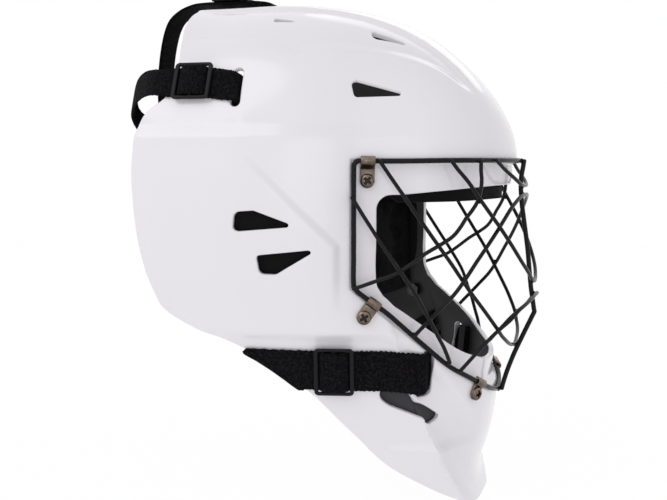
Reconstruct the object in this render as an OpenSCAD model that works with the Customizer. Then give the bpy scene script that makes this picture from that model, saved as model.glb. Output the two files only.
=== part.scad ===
// Floorball goalie helmet: moulded shell, welded wire cage, padding and elastic harness.
// Origin at the head centre, +X forward through the face, +Y to the wearer's left, +Z up.

/* [Shell] */
// Head centre up to the top of the crown
crown_h = 168; // [158:1:178]
// Head centre forward to the brow
brow_x = 126; // [120:1:132]
// Half the width of the shell over the ears
ear_half_w = 111; // [104:1:118]
// Half the width of the shell at the temples, beside the eye port
temple_half_w = 87; // [83:1:92]
// Head centre down to the chin tip
chin_drop = 168; // [160:1:176]
// Head centre forward to the chin below the eye port
chin_x = 113; // [108:1:117]
// Thickness of the shell
wall = 4; // [3:0.25:5]
// Head centre back to the rear rim at ear height
rear_x = 100; // [92:1:108]

/* [Shell relief] */
// Height of the belt line over the ears
belt_z = 80; // [74:1:86]
// How far the side panels stand out below the belt line
belt_step = 2.5; // [1:0.25:3.5]
// How far the ear panels stand out behind the diagonal crease
panel_step = 2.5; // [1:0.25:3.5]
// Depth of the two bands sunk into the crown
band_depth = 2.5; // [1:0.25:3]
// Depth of the cheek channel that runs to the chin
cheek_depth = 3; // [1:0.25:3.5]
// Depth of the step that the cage frame closes
seat_depth = 3.5; // [2:0.25:4]

/* [Eye port] */
// Head centre forward to the back edge of the port
port_back_x = 51; // [48:1:54]
// Head centre up to the top edge of the port at the temples
port_top_z = 40; // [36:1:43]
// Head centre down to the lower lip of the port at the chin
port_lip_z = 71; // [67:1:74]
// Corner radius of the port
port_r = 9; // [5:0.5:12]

/* [Cage] */
// Diameter of the frame rod and the centre bar
frame_d = 3.2; // [2.8:0.1:3.6]
// Diameter of the wires
wire_d = 2.5; // [2:0.1:2.8]
// Head centre forward to the foremost point of the cage
cage_reach = 139.5; // [134:0.5:146]
// Head centre up to the top bar of the frame
bar_z = 61; // [58:0.5:64]
// Head centre forward to the upright at the back of the frame
upright_x = 37.5; // [35:0.5:40]

/* [Clips] */
// Width of a clip
clip_w = 9; // [8:0.5:10]
// Thickness of the strip that a clip is bent from
clip_t = 1.2; // [0.8:0.1:1.6]
// Diameter of a clip screw
screw_d = 4; // [3:0.5:5]
// Diameter of a screw head
head_d = 9; // [8:0.5:9.5]
// Across a nut behind the shell
nut_d = 10; // [9:0.5:12]

/* [Harness] */
// Width of the two upper straps
strap_w = 20; // [18:1:22]
// Width of the jaw and crown straps
wide_strap_w = 26; // [23:1:28]
// Thickness of the elastic
strap_t = 2; // [1.5:0.1:2.5]
// Length of a slider along its strap
slider_l = 25; // [23:1:27]
// Thickness of the bars of a slider
slider_t = 2.2; // [1.8:0.1:2.6]
// Width of the back plate
plate_w = 78; // [70:1:86]
// Height of the back plate
plate_h = 76; // [68:1:84]
// Thickness of the back plate
plate_t = 3; // [2:0.25:4]

/* [Padding] */
// Thickness of the side and jaw pads
pad_t = 13; // [10:1:16]
// Thickness of the brow pad
brow_pad_t = 12; // [9:1:15]
// Thickness of the crown pad
crown_pad_t = 14; // [10:1:18]

/* [Hidden] */

centre = [0, 0, 40];
axis_x = 20;
touch = 0.05;
gap = 0.3;
shell_white = [0.92, 0.92, 0.94];
cage_black = [0.09, 0.09, 0.1];
clip_bronze = [0.4, 0.33, 0.27];
pad_black = [0.06, 0.06, 0.065];
strap_black = [0.05, 0.05, 0.055];
slider_black = [0.11, 0.11, 0.12];

// Small helpers
function unit(v) = v / norm(v);
function ease(a, b, x) = let (t = min(1, max(0, (x - a) / (b - a)))) t * t * (3 - 2 * t);
function mix(a, b, t) = a + (b - a) * t;
function side(p) = [p[0], abs(p[1]), p[2]];

// Profiles of the shell: over the crown, round the side at the height of the centre, and down the chin
crown_line = [[brow_x, 40], [brow_x + 1, 58], [brow_x - 2.5, 80], [brow_x - 12, 99],
    [102, crown_h - 53], [88, crown_h - 38.5], [61, crown_h - 19], [27, crown_h - 6.5],
    [-4, crown_h - 1.5], [-40, crown_h], [-68, crown_h - 0.5], [-106, crown_h - 2.5], [-130, crown_h - 7]];
side_line = [[brow_x, 0], [brow_x - 6, 30], [105, 60], [86, temple_half_w - 12.5],
    [64, temple_half_w - 4.5], [48, temple_half_w], [34, ear_half_w - 19], [12, ear_half_w - 9],
    [-20, ear_half_w - 2], [-60, ear_half_w], [-98, ear_half_w - 2], [-130, ear_half_w - 9]];
chin_line = [[brow_x, 40], [brow_x - 1, 0], [chin_x + 7, -40], [chin_x + 0.5, -78],
    [chin_x, 66 - chin_drop], [chin_x - 4.5, 43 - chin_drop], [chin_x - 9, 29 - chin_drop],
    [chin_x - 10, 21 - chin_drop], [chin_x - 9, 12 - chin_drop], [chin_x - 5.5, -chin_drop],
    [chin_x - 4, -14 - chin_drop], [60, -22 - chin_drop], [0, -165], [-60, -140], [-130, -110]];

function about_centre(line, z) = [for (p = line) let (q = [p[0], abs(p[1] - z)])
    [atan2(q[1], q[0]), norm(q)]];
function slopes(q) = let (n = len(q)) [for (i = [0 : n - 1])
    i == 0 ? 0 : i == n - 1 ? (q[i][1] - q[i - 1][1]) / (q[i][0] - q[i - 1][0])
    : (q[i + 1][1] - q[i - 1][1]) / (q[i + 1][0] - q[i - 1][0])];
function span_of(q, a, i = 0) = i >= len(q) - 2 || a < q[i + 1][0] ? i : span_of(q, a, i + 1);
function along(q, m, a) = let (i = span_of(q, a), h = q[i + 1][0] - q[i][0],
    t = min(1, max(0, (a - q[i][0]) / h)))
    (2 * t ^ 3 - 3 * t ^ 2 + 1) * q[i][1] + (t ^ 3 - 2 * t ^ 2 + t) * h * m[i]
    + (3 * t ^ 2 - 2 * t ^ 3) * q[i + 1][1] + (t ^ 3 - t ^ 2) * h * m[i + 1];

crown_q = about_centre(crown_line, centre[2]);
side_q = about_centre(side_line, 0);
chin_q = about_centre(chin_line, centre[2]);
crown_m = slopes(crown_q);
side_m = slopes(side_q);
chin_m = slopes(chin_q);
crown_full = 2.4;
chin_full = 2.2;

// Radius of the smooth form from the centre, in the direction d
function form_r(d) = let (a = acos(min(1, max(-1, d[0]))), s = norm([d[1], d[2]]))
    s < 1e-6 ? along(crown_q, crown_m, a) : let (
    up = d[2] >= 0, n = mix(2, up ? crown_full : chin_full, ease(5, 55, a)),
    rs = along(side_q, side_m, a), rv = up ? along(crown_q, crown_m, a) : along(chin_q, chin_m, a))
    ((abs(d[1]) / s / rs) ^ n + (abs(d[2]) / s / rv) ^ n) ^ (-1 / n);

// Height of each surface feature at p, with edges k times as soft
function belt(p, k) = belt_step * (1 - ease(belt_z - 5 * k, belt_z + 5 * k, p[2]))
    * (1 - ease(20, 75, p[0])) * ease(-60, -40, p[2]);
function panel(p, k) = let (a = (p[0] - 25) * 0.723 + (p[2] - 11) * 0.691, b = p[0] - 27)
    panel_step * (1 - ease(-3 * k, 3 * k, max(a, b))) * ease(-38, -8, p[2]) * (1 - ease(45, 72, p[2]));
function band(p, k) = let (y = abs(p[1]), low = 81 - 0.38 * max(0, p[0]))
    -band_depth * ease(36 - 3 * k, 36 + 3 * k, y) * (1 - ease(low - 4 * k, low + 4 * k, y))
    * (1 - ease(92, 108, p[0])) * ease(-100, -60, p[0]) * ease(60, 90, p[2]);
function cheek(p, k) = let (y = abs(p[1]), dx = max(0, p[0] - 50), top = -47 - 0.0192 * dx ^ 2,
    steep = norm([1, 0.0384 * dx]), d1 = (top - p[2]) / steep, d2 = p[2] + 121)
    -cheek_depth * ease(-3 * k, 5 * k, d1) * (p[0] > 30 ? mix(1, ease(-4 * k, 4 * k, d2), ease(30, 60, p[0])) : 1)
    * ease(26, 42, y) * ease(-75, -45, p[0]);
function seat_d(p) = min(bar_z + 0.5 - p[2], p[0] - upright_x + 1.5,
    (p[0] - upright_x) * 0.665 + (p[2] + 18) * 0.747 + 0.5);
function seat(p, k) = -seat_depth * ease(-1.5 - 6 * (k - 1), 2.5, seat_d(p));
function relief(p, k = 1) = belt(p, k) + panel(p, k) + band(p, k) + cheek(p, k) + seat(p, k);

// Where the ray from o along d leaves the form
function beyond(p) = let (v = p - centre, l = norm(v)) l - form_r(v / l);
function reach(o, d, lo = 40, hi = 240, a = -60, b = 60, i = 0) =
    let (m = i < 6 ? (lo + hi) / 2 : lo + (hi - lo) * a / (a - b)) i > 7 ? m
    : let (f = beyond(o + m * d)) f < 0 ? reach(o, d, m, hi, f, b, i + 1) : reach(o, d, lo, m, a, f, i + 1);
// Points of the form and of the skin, level with z in the direction th about the cage axis
function level_r(th, z) = reach([axis_x, 0, z], [cos(th), sin(th), 0]);
function level_pt(th, z) = let (r = level_r(th, z)) [axis_x + r * cos(th), r * sin(th), z];
function level_n(th, z) = unit(cross(level_pt(th + 2, z) - level_pt(th - 2, z),
    level_pt(th, z + 2) - level_pt(th, z - 2)));
function skin_pt(th, z) = let (p = level_pt(th, z)) p + relief(p) * level_n(th, z);
// Point of the form straight to the left of x, z, and the way out of it there
function side_at(x, z) = let (o = [0, 1, 0], y = reach([x, 0, z], o))
    [[x, y, z], unit([reach([x - 2, 0, z], o) - reach([x + 2, 0, z], o), 4,
    reach([x, 0, z - 2], o) - reach([x, 0, z + 2], o)])];

// Grid over the form: a dome of nd rings about the crown, then nl rings down to below the rim
function edge_z(th) = lookup(abs(th), [[0, -8 - chin_drop], [18, -4 - chin_drop], [31, -166], [42, -160],
    [64.5, -142], [84, -118], [98.5, -98], [114, -76], [125, -62], [136, -46], [180, -46]]);
function spoke(j, ns) = let (f = 360 * j / ns, g = f > 180 ? f - 360 : f) g - 17 * sin(g);
function form_grid(nd, nl, ns) = let (hub = [axis_x, 0, centre[2]]) [for (k = [0 : nd + nl])
    [for (j = [0 : ns - 1]) let (th = spoke(j, ns), up = 90 * (1 - k / nd), z = mix(hub[2], edge_z(th), (k - nd) / nl))
        k <= nd ? let (d = [cos(up) * cos(th), cos(up) * sin(th), sin(up)]) hub + reach(hub, d) * d
        : level_pt(th, z)]];
function grid_n(g, k, j) = let (ns = len(g[0]), last = len(g) - 1)
    k == 0 ? unit(cross(g[1][0] - g[1][ns / 2], g[1][round(ns / 4)] - g[1][round(3 * ns / 4)]))
    : unit(cross(g[k][(j + 1) % ns] - g[k][(j + ns - 1) % ns], g[k - 1][j] - g[min(k + 1, last)][j]));
module skin_form(nd, nl, ns, inner = false) {
    g = form_grid(nd, nl, ns);
    rows = nd + nl;
    pts = concat([g[0][0] + grid_n(g, 0, 0) * (inner ? -wall : 0)],
        [for (k = [1 : rows], j = [0 : ns - 1]) let (p = g[k][j])
            p + grid_n(g, k, j) * (inner ? relief(p, 3) - wall : relief(p))],
        inner ? [for (j = [0 : ns - 1]) g[rows][j] - grid_n(g, rows, j) * wall - [0, 0, 16]] : [],
        [[axis_x, 0, inner ? -240 : -50]]);
    foot = rows + (inner ? 1 : 0);
    function at(k, j) = 1 + (k - 1) * ns + j % ns;
    polyhedron(pts, concat([for (j = [0 : ns - 1]) [0, at(1, j + 1), at(1, j)]],
        [for (k = [1 : foot - 1], j = [0 : ns - 1], half = [0, 1]) j < ns / 2
            ? (half == 0 ? [at(k, j), at(k + 1, j + 1), at(k + 1, j)] : [at(k, j), at(k, j + 1), at(k + 1, j + 1)])
            : (half == 0 ? [at(k, j), at(k, j + 1), at(k + 1, j)] : [at(k + 1, j), at(k, j + 1), at(k + 1, j + 1)])],
        [for (j = [0 : ns - 1]) [1 + foot * ns, at(foot, j), at(foot, j + 1)]]));
}

// Solid of thickness t about a grid of points
module sheet(g, t) {
    ni = len(g);
    nj = len(g[0]);
    function di(i, j) = g[min(i + 1, ni - 1)][j] - g[max(i - 1, 0)][j];
    function dj(i, j) = g[i][min(j + 1, nj - 1)] - g[i][max(j - 1, 0)];
    off = [for (i = [0 : ni - 1], j = [0 : nj - 1]) unit(cross(di(i, j), dj(i, j))) * t / 2];
    flat = [for (i = [0 : ni - 1], j = [0 : nj - 1]) g[i][j]];
    slab(concat(flat + off, flat - off), ni, nj);
}

// Closed polyhedron from a top grid and a bottom grid, one after the other
module slab(pts, ni, nj) {
    m = ni * nj;
    function at(i, j) = i * nj + j;
    polyhedron(pts, concat(
        [for (i = [0 : ni - 2], j = [0 : nj - 2], k = [0, 1]) k == 0
            ? [at(i, j + 1), at(i + 1, j), at(i, j)] : [at(i, j + 1), at(i + 1, j + 1), at(i + 1, j)]],
        [for (i = [0 : ni - 2], j = [0 : nj - 2], k = [0, 1]) k == 0
            ? [m + at(i, j), m + at(i + 1, j), m + at(i, j + 1)]
            : [m + at(i + 1, j), m + at(i + 1, j + 1), m + at(i, j + 1)]],
        [for (i = [0 : ni - 2], k = [0, 1]) k == 0
            ? [at(i, 0), at(i + 1, 0), m + at(i, 0)] : [at(i + 1, 0), m + at(i + 1, 0), m + at(i, 0)]],
        [for (i = [0 : ni - 2], k = [0, 1]) k == 0
            ? [at(i, nj - 1), m + at(i, nj - 1), at(i + 1, nj - 1)]
            : [at(i + 1, nj - 1), m + at(i, nj - 1), m + at(i + 1, nj - 1)]],
        [for (j = [0 : nj - 2], k = [0, 1]) k == 0
            ? [at(0, j), m + at(0, j), at(0, j + 1)] : [at(0, j + 1), m + at(0, j), m + at(0, j + 1)]],
        [for (j = [0 : nj - 2], k = [0, 1]) k == 0
            ? [at(ni - 1, j), at(ni - 1, j + 1), m + at(ni - 1, j)]
            : [at(ni - 1, j + 1), m + at(ni - 1, j + 1), m + at(ni - 1, j)]]));
}

// Round rod along a path about the cage axis, open or closed on itself
module rod(path, d, sides, closed = false) {
    n = len(path);
    function nth(i) = closed ? path[(i + n) % n] : path[min(n - 1, max(0, i))];
    pts = [for (i = [0 : n - 1]) let (t = unit(nth(i + 1) - nth(i - 1)),
        o = unit([path[i][0] - axis_x, path[i][1], 0]), s = unit(cross(t, o)), u = cross(s, t))
        for (j = [0 : sides - 1]) path[i] + d / 2 * (cos(360 * j / sides) * u + sin(360 * j / sides) * s)];
    function at(i, j) = (i % n) * sides + j % sides;
    skin = [for (i = [0 : n - (closed ? 1 : 2)], j = [0 : sides - 1], k = [0, 1]) k == 0
        ? [at(i, j), at(i + 1, j), at(i, j + 1)] : [at(i + 1, j), at(i + 1, j + 1), at(i, j + 1)]];
    polyhedron(pts, closed ? skin : concat(skin, [[for (j = [0 : sides - 1]) j]],
        [[for (j = [sides - 1 : -1 : 0]) (n - 1) * sides + j]]));
}

// Smooth path through points, with m steps between two of them
function smooth(p, m) = let (n = len(p)) concat([for (i = [0 : n - 2], s = [0 : m - 1])
    let (t = s / m, a = p[max(0, i - 1)], b = p[i], c = p[i + 1], d = p[min(n - 1, i + 2)])
    b + 0.5 * t * ((c - a) + t * (2 * a - 5 * b + 4 * c - d + t * (3 * (b - c) + d - a)))], [p[n - 1]]);
function mirrored(p) = [for (q = p) [q[0], -q[1], q[2]]];
function reversed(p) = [for (i = [len(p) - 1 : -1 : 0]) p[i]];

module both_sides() {
    children();
    mirror([0, 1, 0]) children();
}
module side_cut(pts, r = 0) {
    rotate([90, 0, 0]) linear_extrude(320, center = true)
        offset(r = r) offset(delta = -r) polygon(pts);
}
// Slot through both sides, the hull of circles [x, z, r]
module side_slot(circles) {
    rotate([90, 0, 0]) linear_extrude(320, center = true)
        hull() for (c = circles) translate([c[0], c[1]]) circle(c[2], $fn = 24);
}
module top_slot(circles) {
    both_sides() linear_extrude(220) hull() for (c = circles) translate([c[0], c[1]]) circle(c[2], $fn = 24);
}

// Side view of the rear and lower rim, from the top of the crown round to the chin
rim = smooth([[-86, 164], [-84, 154], [-77, 124], [-80, 104], [-95, 91], [-rear_x - 0.5, 74],
    [-rear_x, 48], [4 - rear_x, 10], [12 - rear_x, -20], [-80, -34], [-50, -50], [-22, -64], [7, -86],
    [28, -108], [52, -132], [80, -150], [chin_x - 10, 6 - chin_drop], [chin_x + 2, -2 - chin_drop]], 2);
port = [[port_back_x, port_top_z], [port_back_x, -16], [62, -29.5],
    [chin_x - 3, -66], [chin_x + 12, -6 - port_lip_z], [170, -20 - port_lip_z],
    [170, port_top_z + 10], [68, port_top_z + 0.5]];

// Vents and strap slots
ear_vent_upper = [[-28.5, 26.5, 4], [-30, 21.5, 3], [-21, 27.5, 3.5], [-1.2, 22.2, 1.4]];
ear_vent_lower = [[-17, 2, 2], [-14.5, -4, 3.6], [-8.5, -4.4, 3.4], [11.3, 5.4, 1.4]];
crown_side_vent = [[37, 108.5, 2.6], [38.3, 103.2, 2.4], [62, 103, 1.2]];
chin_vent = [[58, -86, 6], [60.5, -88.5, 5.5], [84, -101.5, 2.6], [70, -87, 3]];
crown_vent_rear = [[-22, -58, 2.4], [-12, -58, 1.4]];
crown_vent_front = [[43, -51, 3], [60, -46, 1.2]];
upper_slot = [-35, 107];
jaw_slot = [80.3, -72];
crown_slot_x = -41;
slot_w = 6;

// Height of the lower bar of the cage frame at each angle about the cage axis
low_bar = [[0, -92], [10, -89], [24, -81.5], [35, -73], [43, -65], [56, -47], [67, -32], [72.5, -26], [77, -20]];
function low_z(th) = lookup(abs(th), low_bar);

// Places of the clip screws, as [angle, height, how far the clip is packed up]
temple_spot = [73.9, bar_z - 12, 0.9];
jaw_spot = [75.3, -35, 0.6];
chin_spot = [26, -88, 0.3];

module shell() {
    color(shell_white) difference() {
        intersection() {
            difference() {
                skin_form(20, 23, 72);
                skin_form(10, 12, 36, inner = true);
            }
            side_cut(concat(rim, [[170, -2 - chin_drop], [170, 230], [-86, 230]]));
        }
        side_cut(port, port_r);
        side_slot(ear_vent_upper);
        side_slot(ear_vent_lower);
        side_slot(crown_side_vent);
        side_slot(chin_vent);
        top_slot(crown_vent_rear);
        top_slot(crown_vent_front);
        side_slot([for (s = [-1, 1]) [upper_slot[0], upper_slot[1] + s * (strap_w / 2 - 1), slot_w / 2]]);
        side_slot([for (s = [-1, 1]) [jaw_slot[0] + s * 1, jaw_slot[1] + s * (wide_strap_w / 2 - 1), slot_w / 2]]);
        linear_extrude(220) hull() for (s = [-1, 1])
            translate([crown_slot_x, s * (wide_strap_w / 2)]) circle(slot_w / 2, $fn = 24);
        both_sides() for (c = [temple_spot, jaw_spot, chin_spot])
            clip_frame(c) cylinder(h = 60, d = screw_d + 0.6, center = true, $fn = 24);
    }
}

// Frame of the cage
up_th = 79.4;
lift = frame_d / 2 + touch;
function on_frame(th, z) = let (p = level_pt(th, z)) p + (lift + belt(p, 1)) * level_n(th, z);
function frame_r(th, z) = level_r(th, z) + lift + belt(level_pt(th, z), 1);
frame_half = [for (q = smooth([[0, bar_z + 1], [15, bar_z + 1], [30, bar_z + 0.7], [45, bar_z + 0.4], [60, bar_z],
    [71, bar_z], [77.3, bar_z], [79, bar_z - 1.6], [up_th, bar_z - 6], [up_th, 30], [up_th, 0], [up_th, -13],
    [78.6, -17.5], [76, -21.3], [67, -32], [56, -47], [43, -65], [35, -73], [24, -81.5], [12, -88.5], [0, -92]], 2))
    on_frame(q[0], q[1])];

// Surface of the cage, a blunt oval at each height that meets the frame
nose = [[-92, level_r(0, -92) + lift], [-66, cage_reach - 12.5 - axis_x], [-39, cage_reach - axis_x],
    [-22, cage_reach - 2.5 - axis_x], [4, cage_reach - 5 - axis_x], [33, cage_reach - 9 - axis_x],
    [62, level_r(0, 62) + lift]];
oval = 2.3;
function half_at(th, z) = let (r = frame_r(th, z))
    sin(th) / (r ^ (-oval) - (cos(th) / lookup(z, nose)) ^ oval) ^ (1 / oval);
halves = concat([[-95, 66], [-88, 68]],
    [for (th = [24, 35, 43, 56, 70]) [low_z(th), half_at(th, low_z(th))]],
    [for (z = [-17, 10, 35, bar_z]) [z, half_at(up_th, z)]]);
function cage_r(th, z) = let (a = lookup(z, nose), b = lookup(z, halves),
    r = ((cos(th) / a) ^ oval + (abs(sin(th)) / b) ^ oval) ^ (-1 / oval))
    mix(r, frame_r(th, z), ease(45, bar_z - 2, z));
function cage_pt(q) = let (r = cage_r(q[0], q[1]), a = lookup(q[1], nose), b = lookup(q[1], halves))
    [axis_x + r * cos(q[0]), r * sin(q[0]), q[1]] + q[2] * unit([cos(q[0]) / a ^ 2, sin(q[0]) / b ^ 2, 0]);

// Layers of wire, counted outward from the frame rod
over = frame_d / 2 + wire_d / 2 + 0.02;
under = over - wire_d - 0.04;
outermost = over + wire_d + 0.04;
bar_over = frame_d + 0.02;

// Routes of the wires as [angle, height, layer], from one end towards the middle
temple_route = [[79.4, 39, over], [69.9, 13, 4.6], [62.9, -6, outermost], [53.8, -31, outermost],
    [49.5, -43, outermost], [45.4, -54, 4.4], [41.8, -65, over]];
loop_route = [[69.3, bar_z, over], [61.1, 39, 1.4], [53.4, 19, under], [45.4, -2, under], [38.6, -20, under],
    [26.6, -44, under], [18.3, -54, -1], [9.5, -59, -over - 0.1], [0, -61, -over - 0.1]];
vee_route = [[44.2, bar_z, over], [40, 49, 4.6], [35.6, 37, outermost], [27.7, 19, outermost],
    [17.2, -2, 4.2], [6, -15.5, over], [0, -18, over]];
brow_route = [[25.1, bar_z + 1, over], [17, 53.5, over], [8.5, 46.5, over], [0, 45.5, over]];
cheek_route = [[78.9, -17, over], [69.4, -11, over], [62.9, -6, over], [54.3, 5, over], [45.4, 15, over],
    [40.5, 26, over], [36, 36, over], [33.7, 49, over], [32.8, bar_z + 0.6, over]];
arch_route = [[55.6, -46.5, over], [51.3, -36, over], [44.6, -20, over], [37.2, -1, over], [28.4, 17, over],
    [19.4, 31, over], [9.5, 38.5, over], [0, 39.5, over]];
chin_route = [[37, -70.8, over], [31, -56, over], [26.1, -45, over], [19, -34, over], [8, -28, over],
    [0, -26.5, over]];
bar_route = [[0, bar_z + 1, bar_over], [0, 52, 1.2], [0, 44, 0], [0, 33, 0], [0, 4, 0], [0, -22, 0], [0, -37, 0],
    [0, -42, 0], [0, -66, 0], [0, -82, 1.4], [0, -92, bar_over]];

function run_of(route, m) = [for (q = smooth(route, m)) cage_pt(q)];
// The same route on both sides, joined at the middle
function crossing(route, m) = let (h = run_of(route, m)) concat(h, reversed(mirrored([for (i = [0 : len(h) - 2]) h[i]])));

module wire(path) {
    rod(path, wire_d, 6);
}
module cage_frame() {
    inner = [for (i = [1 : len(frame_half) - 2]) frame_half[i]];
    color(cage_black) rod(concat(frame_half, reversed(mirrored(inner))), frame_d, 8, closed = true);
}
module cage_centre_bar() {
    color(cage_black) rod(run_of(bar_route, 2), frame_d, 8);
}
module cage_wires_temple() {
    color(cage_black) both_sides() wire(run_of(temple_route, 2));
}
module cage_wire_loop() {
    color(cage_black) wire(crossing(loop_route, 2));
}
module cage_wire_vee() {
    color(cage_black) wire(crossing(vee_route, 2));
}
module cage_wire_brow() {
    color(cage_black) wire(crossing(brow_route, 3));
}
module cage_wires_cheek() {
    color(cage_black) both_sides() wire(run_of(cheek_route, 2));
}
module cage_wire_arch() {
    color(cage_black) wire(crossing(arch_route, 2));
}
module cage_wire_chin() {
    color(cage_black) wire(crossing(chin_route, 2));
}

// Foot of the perpendicular from p to the frame rod, and the way the rod runs there
function foot(p, a, b) = a + (b - a) * min(1, max(0, (p - a) * (b - a) / ((b - a) * (b - a))));
function nearest(p, i = 0, best = undef, far = 1e9) = i > len(frame_half) - 2 ? best
    : let (a = frame_half[i], b = frame_half[i + 1], q = foot(p, a, b), d = norm(p - q))
    d < far && (p[2] < 0 || b[2] > bar_z - 1) ? nearest(p, i + 1, [q, unit(b - a)], d)
    : nearest(p, i + 1, best, far);
// Axes of a clip: X along the rod, Y towards it, Z out of the shell, with its origin under the screw
function clip_at(c) = let (n = level_n(c[0], c[1]), p = skin_pt(c[0], c[1]) + c[2] * n, q = nearest(p),
    w = unit(q[1] - (q[1] * n) * n), t = cross(n, w), s = (q[0] - p) * t > 0 ? 1 : -1)
    [p, s * w, s * t, n, (q[0] - p) * t * s, (q[0] - p) * n];
module on_axes(p, x, y, z) {
    multmatrix([[x[0], y[0], z[0], p[0]], [x[1], y[1], z[1], p[1]], [x[2], y[2], z[2], p[2]], [0, 0, 0, 1]])
        children();
}
module clip_frame(c) {
    a = clip_at(c);
    on_axes(a[0], a[1], a[2], a[3]) children();
}
module clip(c) {
    a = clip_at(c);
    reach = a[4];
    rise = a[5];
    inner = frame_d / 2 + 0.3;
    bend = reach - inner - max(1.5, 0.75 * rise);
    clip_frame(c) difference() {
        union() {
            cylinder(h = clip_t, d = clip_w, $fn = 48);
            rotate([90, 0, 90]) linear_extrude(clip_w, center = true) {
                square([bend, clip_t]);
                polygon([[bend, 0], [reach - inner, rise], [reach - inner - clip_t, rise], [bend - clip_t * 0.4, clip_t]]);
                translate([reach + inner, rise - 1.2]) square([clip_t, 1.2]);
                translate([reach, rise]) intersection() {
                    difference() {
                        circle(inner + clip_t, $fn = 48);
                        circle(inner, $fn = 48);
                    }
                    translate([-10, 0]) square([20, 10]);
                }
            }
        }
        cylinder(h = 10, d = screw_d + 0.3, center = true, $fn = 32);
    }
}
module clips_temple() {
    color(clip_bronze) both_sides() clip(temple_spot);
}
module clips_jaw() {
    color(clip_bronze) both_sides() clip(jaw_spot);
}
module clips_chin() {
    color(clip_bronze) both_sides() clip(chin_spot);
}

// How far a nut stands below its clip: through the wall and clear of its curve
function nut_drop(c) = let (p = level_pt(c[0], c[1])) wall + relief(p) - relief(p, 3) + c[2] + 2.35;
nut_h = 3.2;
head_h = 2.6;
module clip_screws() {
    color(clip_bronze) both_sides() for (c = [temple_spot, jaw_spot, chin_spot]) {
        deep = nut_drop(c) + nut_h + 1;
        clip_frame(c) {
            translate([0, 0, -deep]) cylinder(h = deep + clip_t + 1, d = screw_d, $fn = 32);
            translate([0, 0, clip_t + touch]) rotate_extrude($fn = 48)
                polygon([[0, 0], [head_d / 2, 0], [head_d / 2, 0.9], [head_d / 2 - 0.7, 1.9], [head_d / 2 - 2, head_h], [0, head_h]]);
        }
    }
}
module clip_nuts() {
    color(clip_bronze) both_sides() for (c = [temple_spot, jaw_spot, chin_spot]) {
        clip_frame(c) translate([0, 0, -nut_drop(c) - nut_h]) difference() {
            cylinder(h = nut_h, d = nut_d, $fn = 6);
            translate([0, 0, -1]) cylinder(h = nut_h + 2, d = screw_d + 2 * touch, $fn = 32);
        }
    }
}

// Pads that line the shell: aim(u, v) gives the direction from the centre
pad_lift = 1.5;
function form_n(d) = let (t = unit(cross(d, [0.3, 0.9, 0.31])), s = cross(t, d), a = unit(d + 0.03 * t),
    b = unit(d - 0.03 * t), e = unit(d + 0.03 * s), f = unit(d - 0.03 * s))
    -unit(cross(a * form_r(a) - b * form_r(b), e * form_r(e) - f * form_r(f)));
module liner(aim, t, nu, nv, lift = pad_lift) {
    g = [for (i = [0 : nu - 1], j = [0 : nv - 1]) let (u = 2 * i / (nu - 1) - 1, v = 2 * j / (nv - 1) - 1,
        d = aim(u, v), n = form_n(d), p = centre + d * form_r(d), q = p + (relief(p, 3) - wall - lift) * n)
        [q, q - t * (0.35 + 0.65 * (1 - abs(u) ^ 4) * (1 - abs(v) ^ 4)) * n]];
    slab(concat([for (q = g) q[0]], [for (q = g) q[1]]), nu, nv);
}
function compass(th, up) = [cos(up) * cos(th), cos(up) * sin(th), sin(up)];
module brow_pad() {
    color(pad_black) liner(function (u, v) compass(56 * u, 9 - 10 * v - 2 * u * u), brow_pad_t, 19, 6);
}
module crown_pad() {
    color(pad_black) liner(function (u, v) unit([18 + 46 * u, 46 * v * (1 - 0.15 * u * u), crown_h - 50]),
        crown_pad_t, 9, 9);
}
module side_pad() {
    difference() {
        liner(function (u, v) unit([16 - 22 * u, 88, -40 - 32 * v - 2 * u]), pad_t, 9, 9, 2.2);
        clip_frame(jaw_spot) mirror([0, 0, 1]) cylinder(h = 24, d = nut_d + 3, $fn = 24);
    }
}
module jaw_pad() {
    liner(function (u, v) unit([38 - 22 * u, 80, -108 - 15 * v - 8 * u]), pad_t - 3, 7, 6, 0.75);
}
module side_pad_left() {
    color(pad_black) side_pad();
}
module side_pad_right() {
    color(pad_black) mirror([0, 1, 0]) side_pad();
}
module jaw_pad_left() {
    color(pad_black) jaw_pad();
}
module jaw_pad_right() {
    color(pad_black) mirror([0, 1, 0]) jaw_pad();
}

// Rows across a strap: flat on a skin that it bridges, flat in the frame of a slot, or free in the air
across = [-1 : 0.5 : 1];
function bedded(q, h) = let (r = [for (p = q) relief(p[0])], bed = h > -1 ? max(r) : min(r))
    [for (p = q) p[0] + (bed + h) * p[1]];
function level_row(th, z, w, h) = bedded([for (k = across) let (v = z + k * w / 2) [level_pt(th, v), level_n(th, v)]], h);
function side_row(xs, z, w, h) = bedded([for (i = [0 : 4]) side_at(xs[i], z + (i - 2) * w / 4)], h);
function slot_row(th, z, w, a, h) = let (p = skin_pt(th, z), n = level_n(th, z), x = unit(cross([0, 0, 1], n)))
    [for (k = across) p + a * x + h * n + k * w / 2 * cross(n, x)];
function free_row(p, w, d) = [for (k = across) p + k * w / 2 * unit(d)];
lie = gap + strap_t / 2;
tail = -wall - 4;

// The outer face of the back plate, where all straps end
plate_x = -122;
function at_plate(y, z) = [plate_x + 0.006 * y * y + 0.0025 * (z - 45) ^ 2 - plate_t / 2 - strap_t / 2 - 0.55, y, z];
function plate_row(y, z, w, d) = [for (k = across) at_plate(y + k * w / 2 * d[0], z + k * w / 2 * d[1])];

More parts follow.
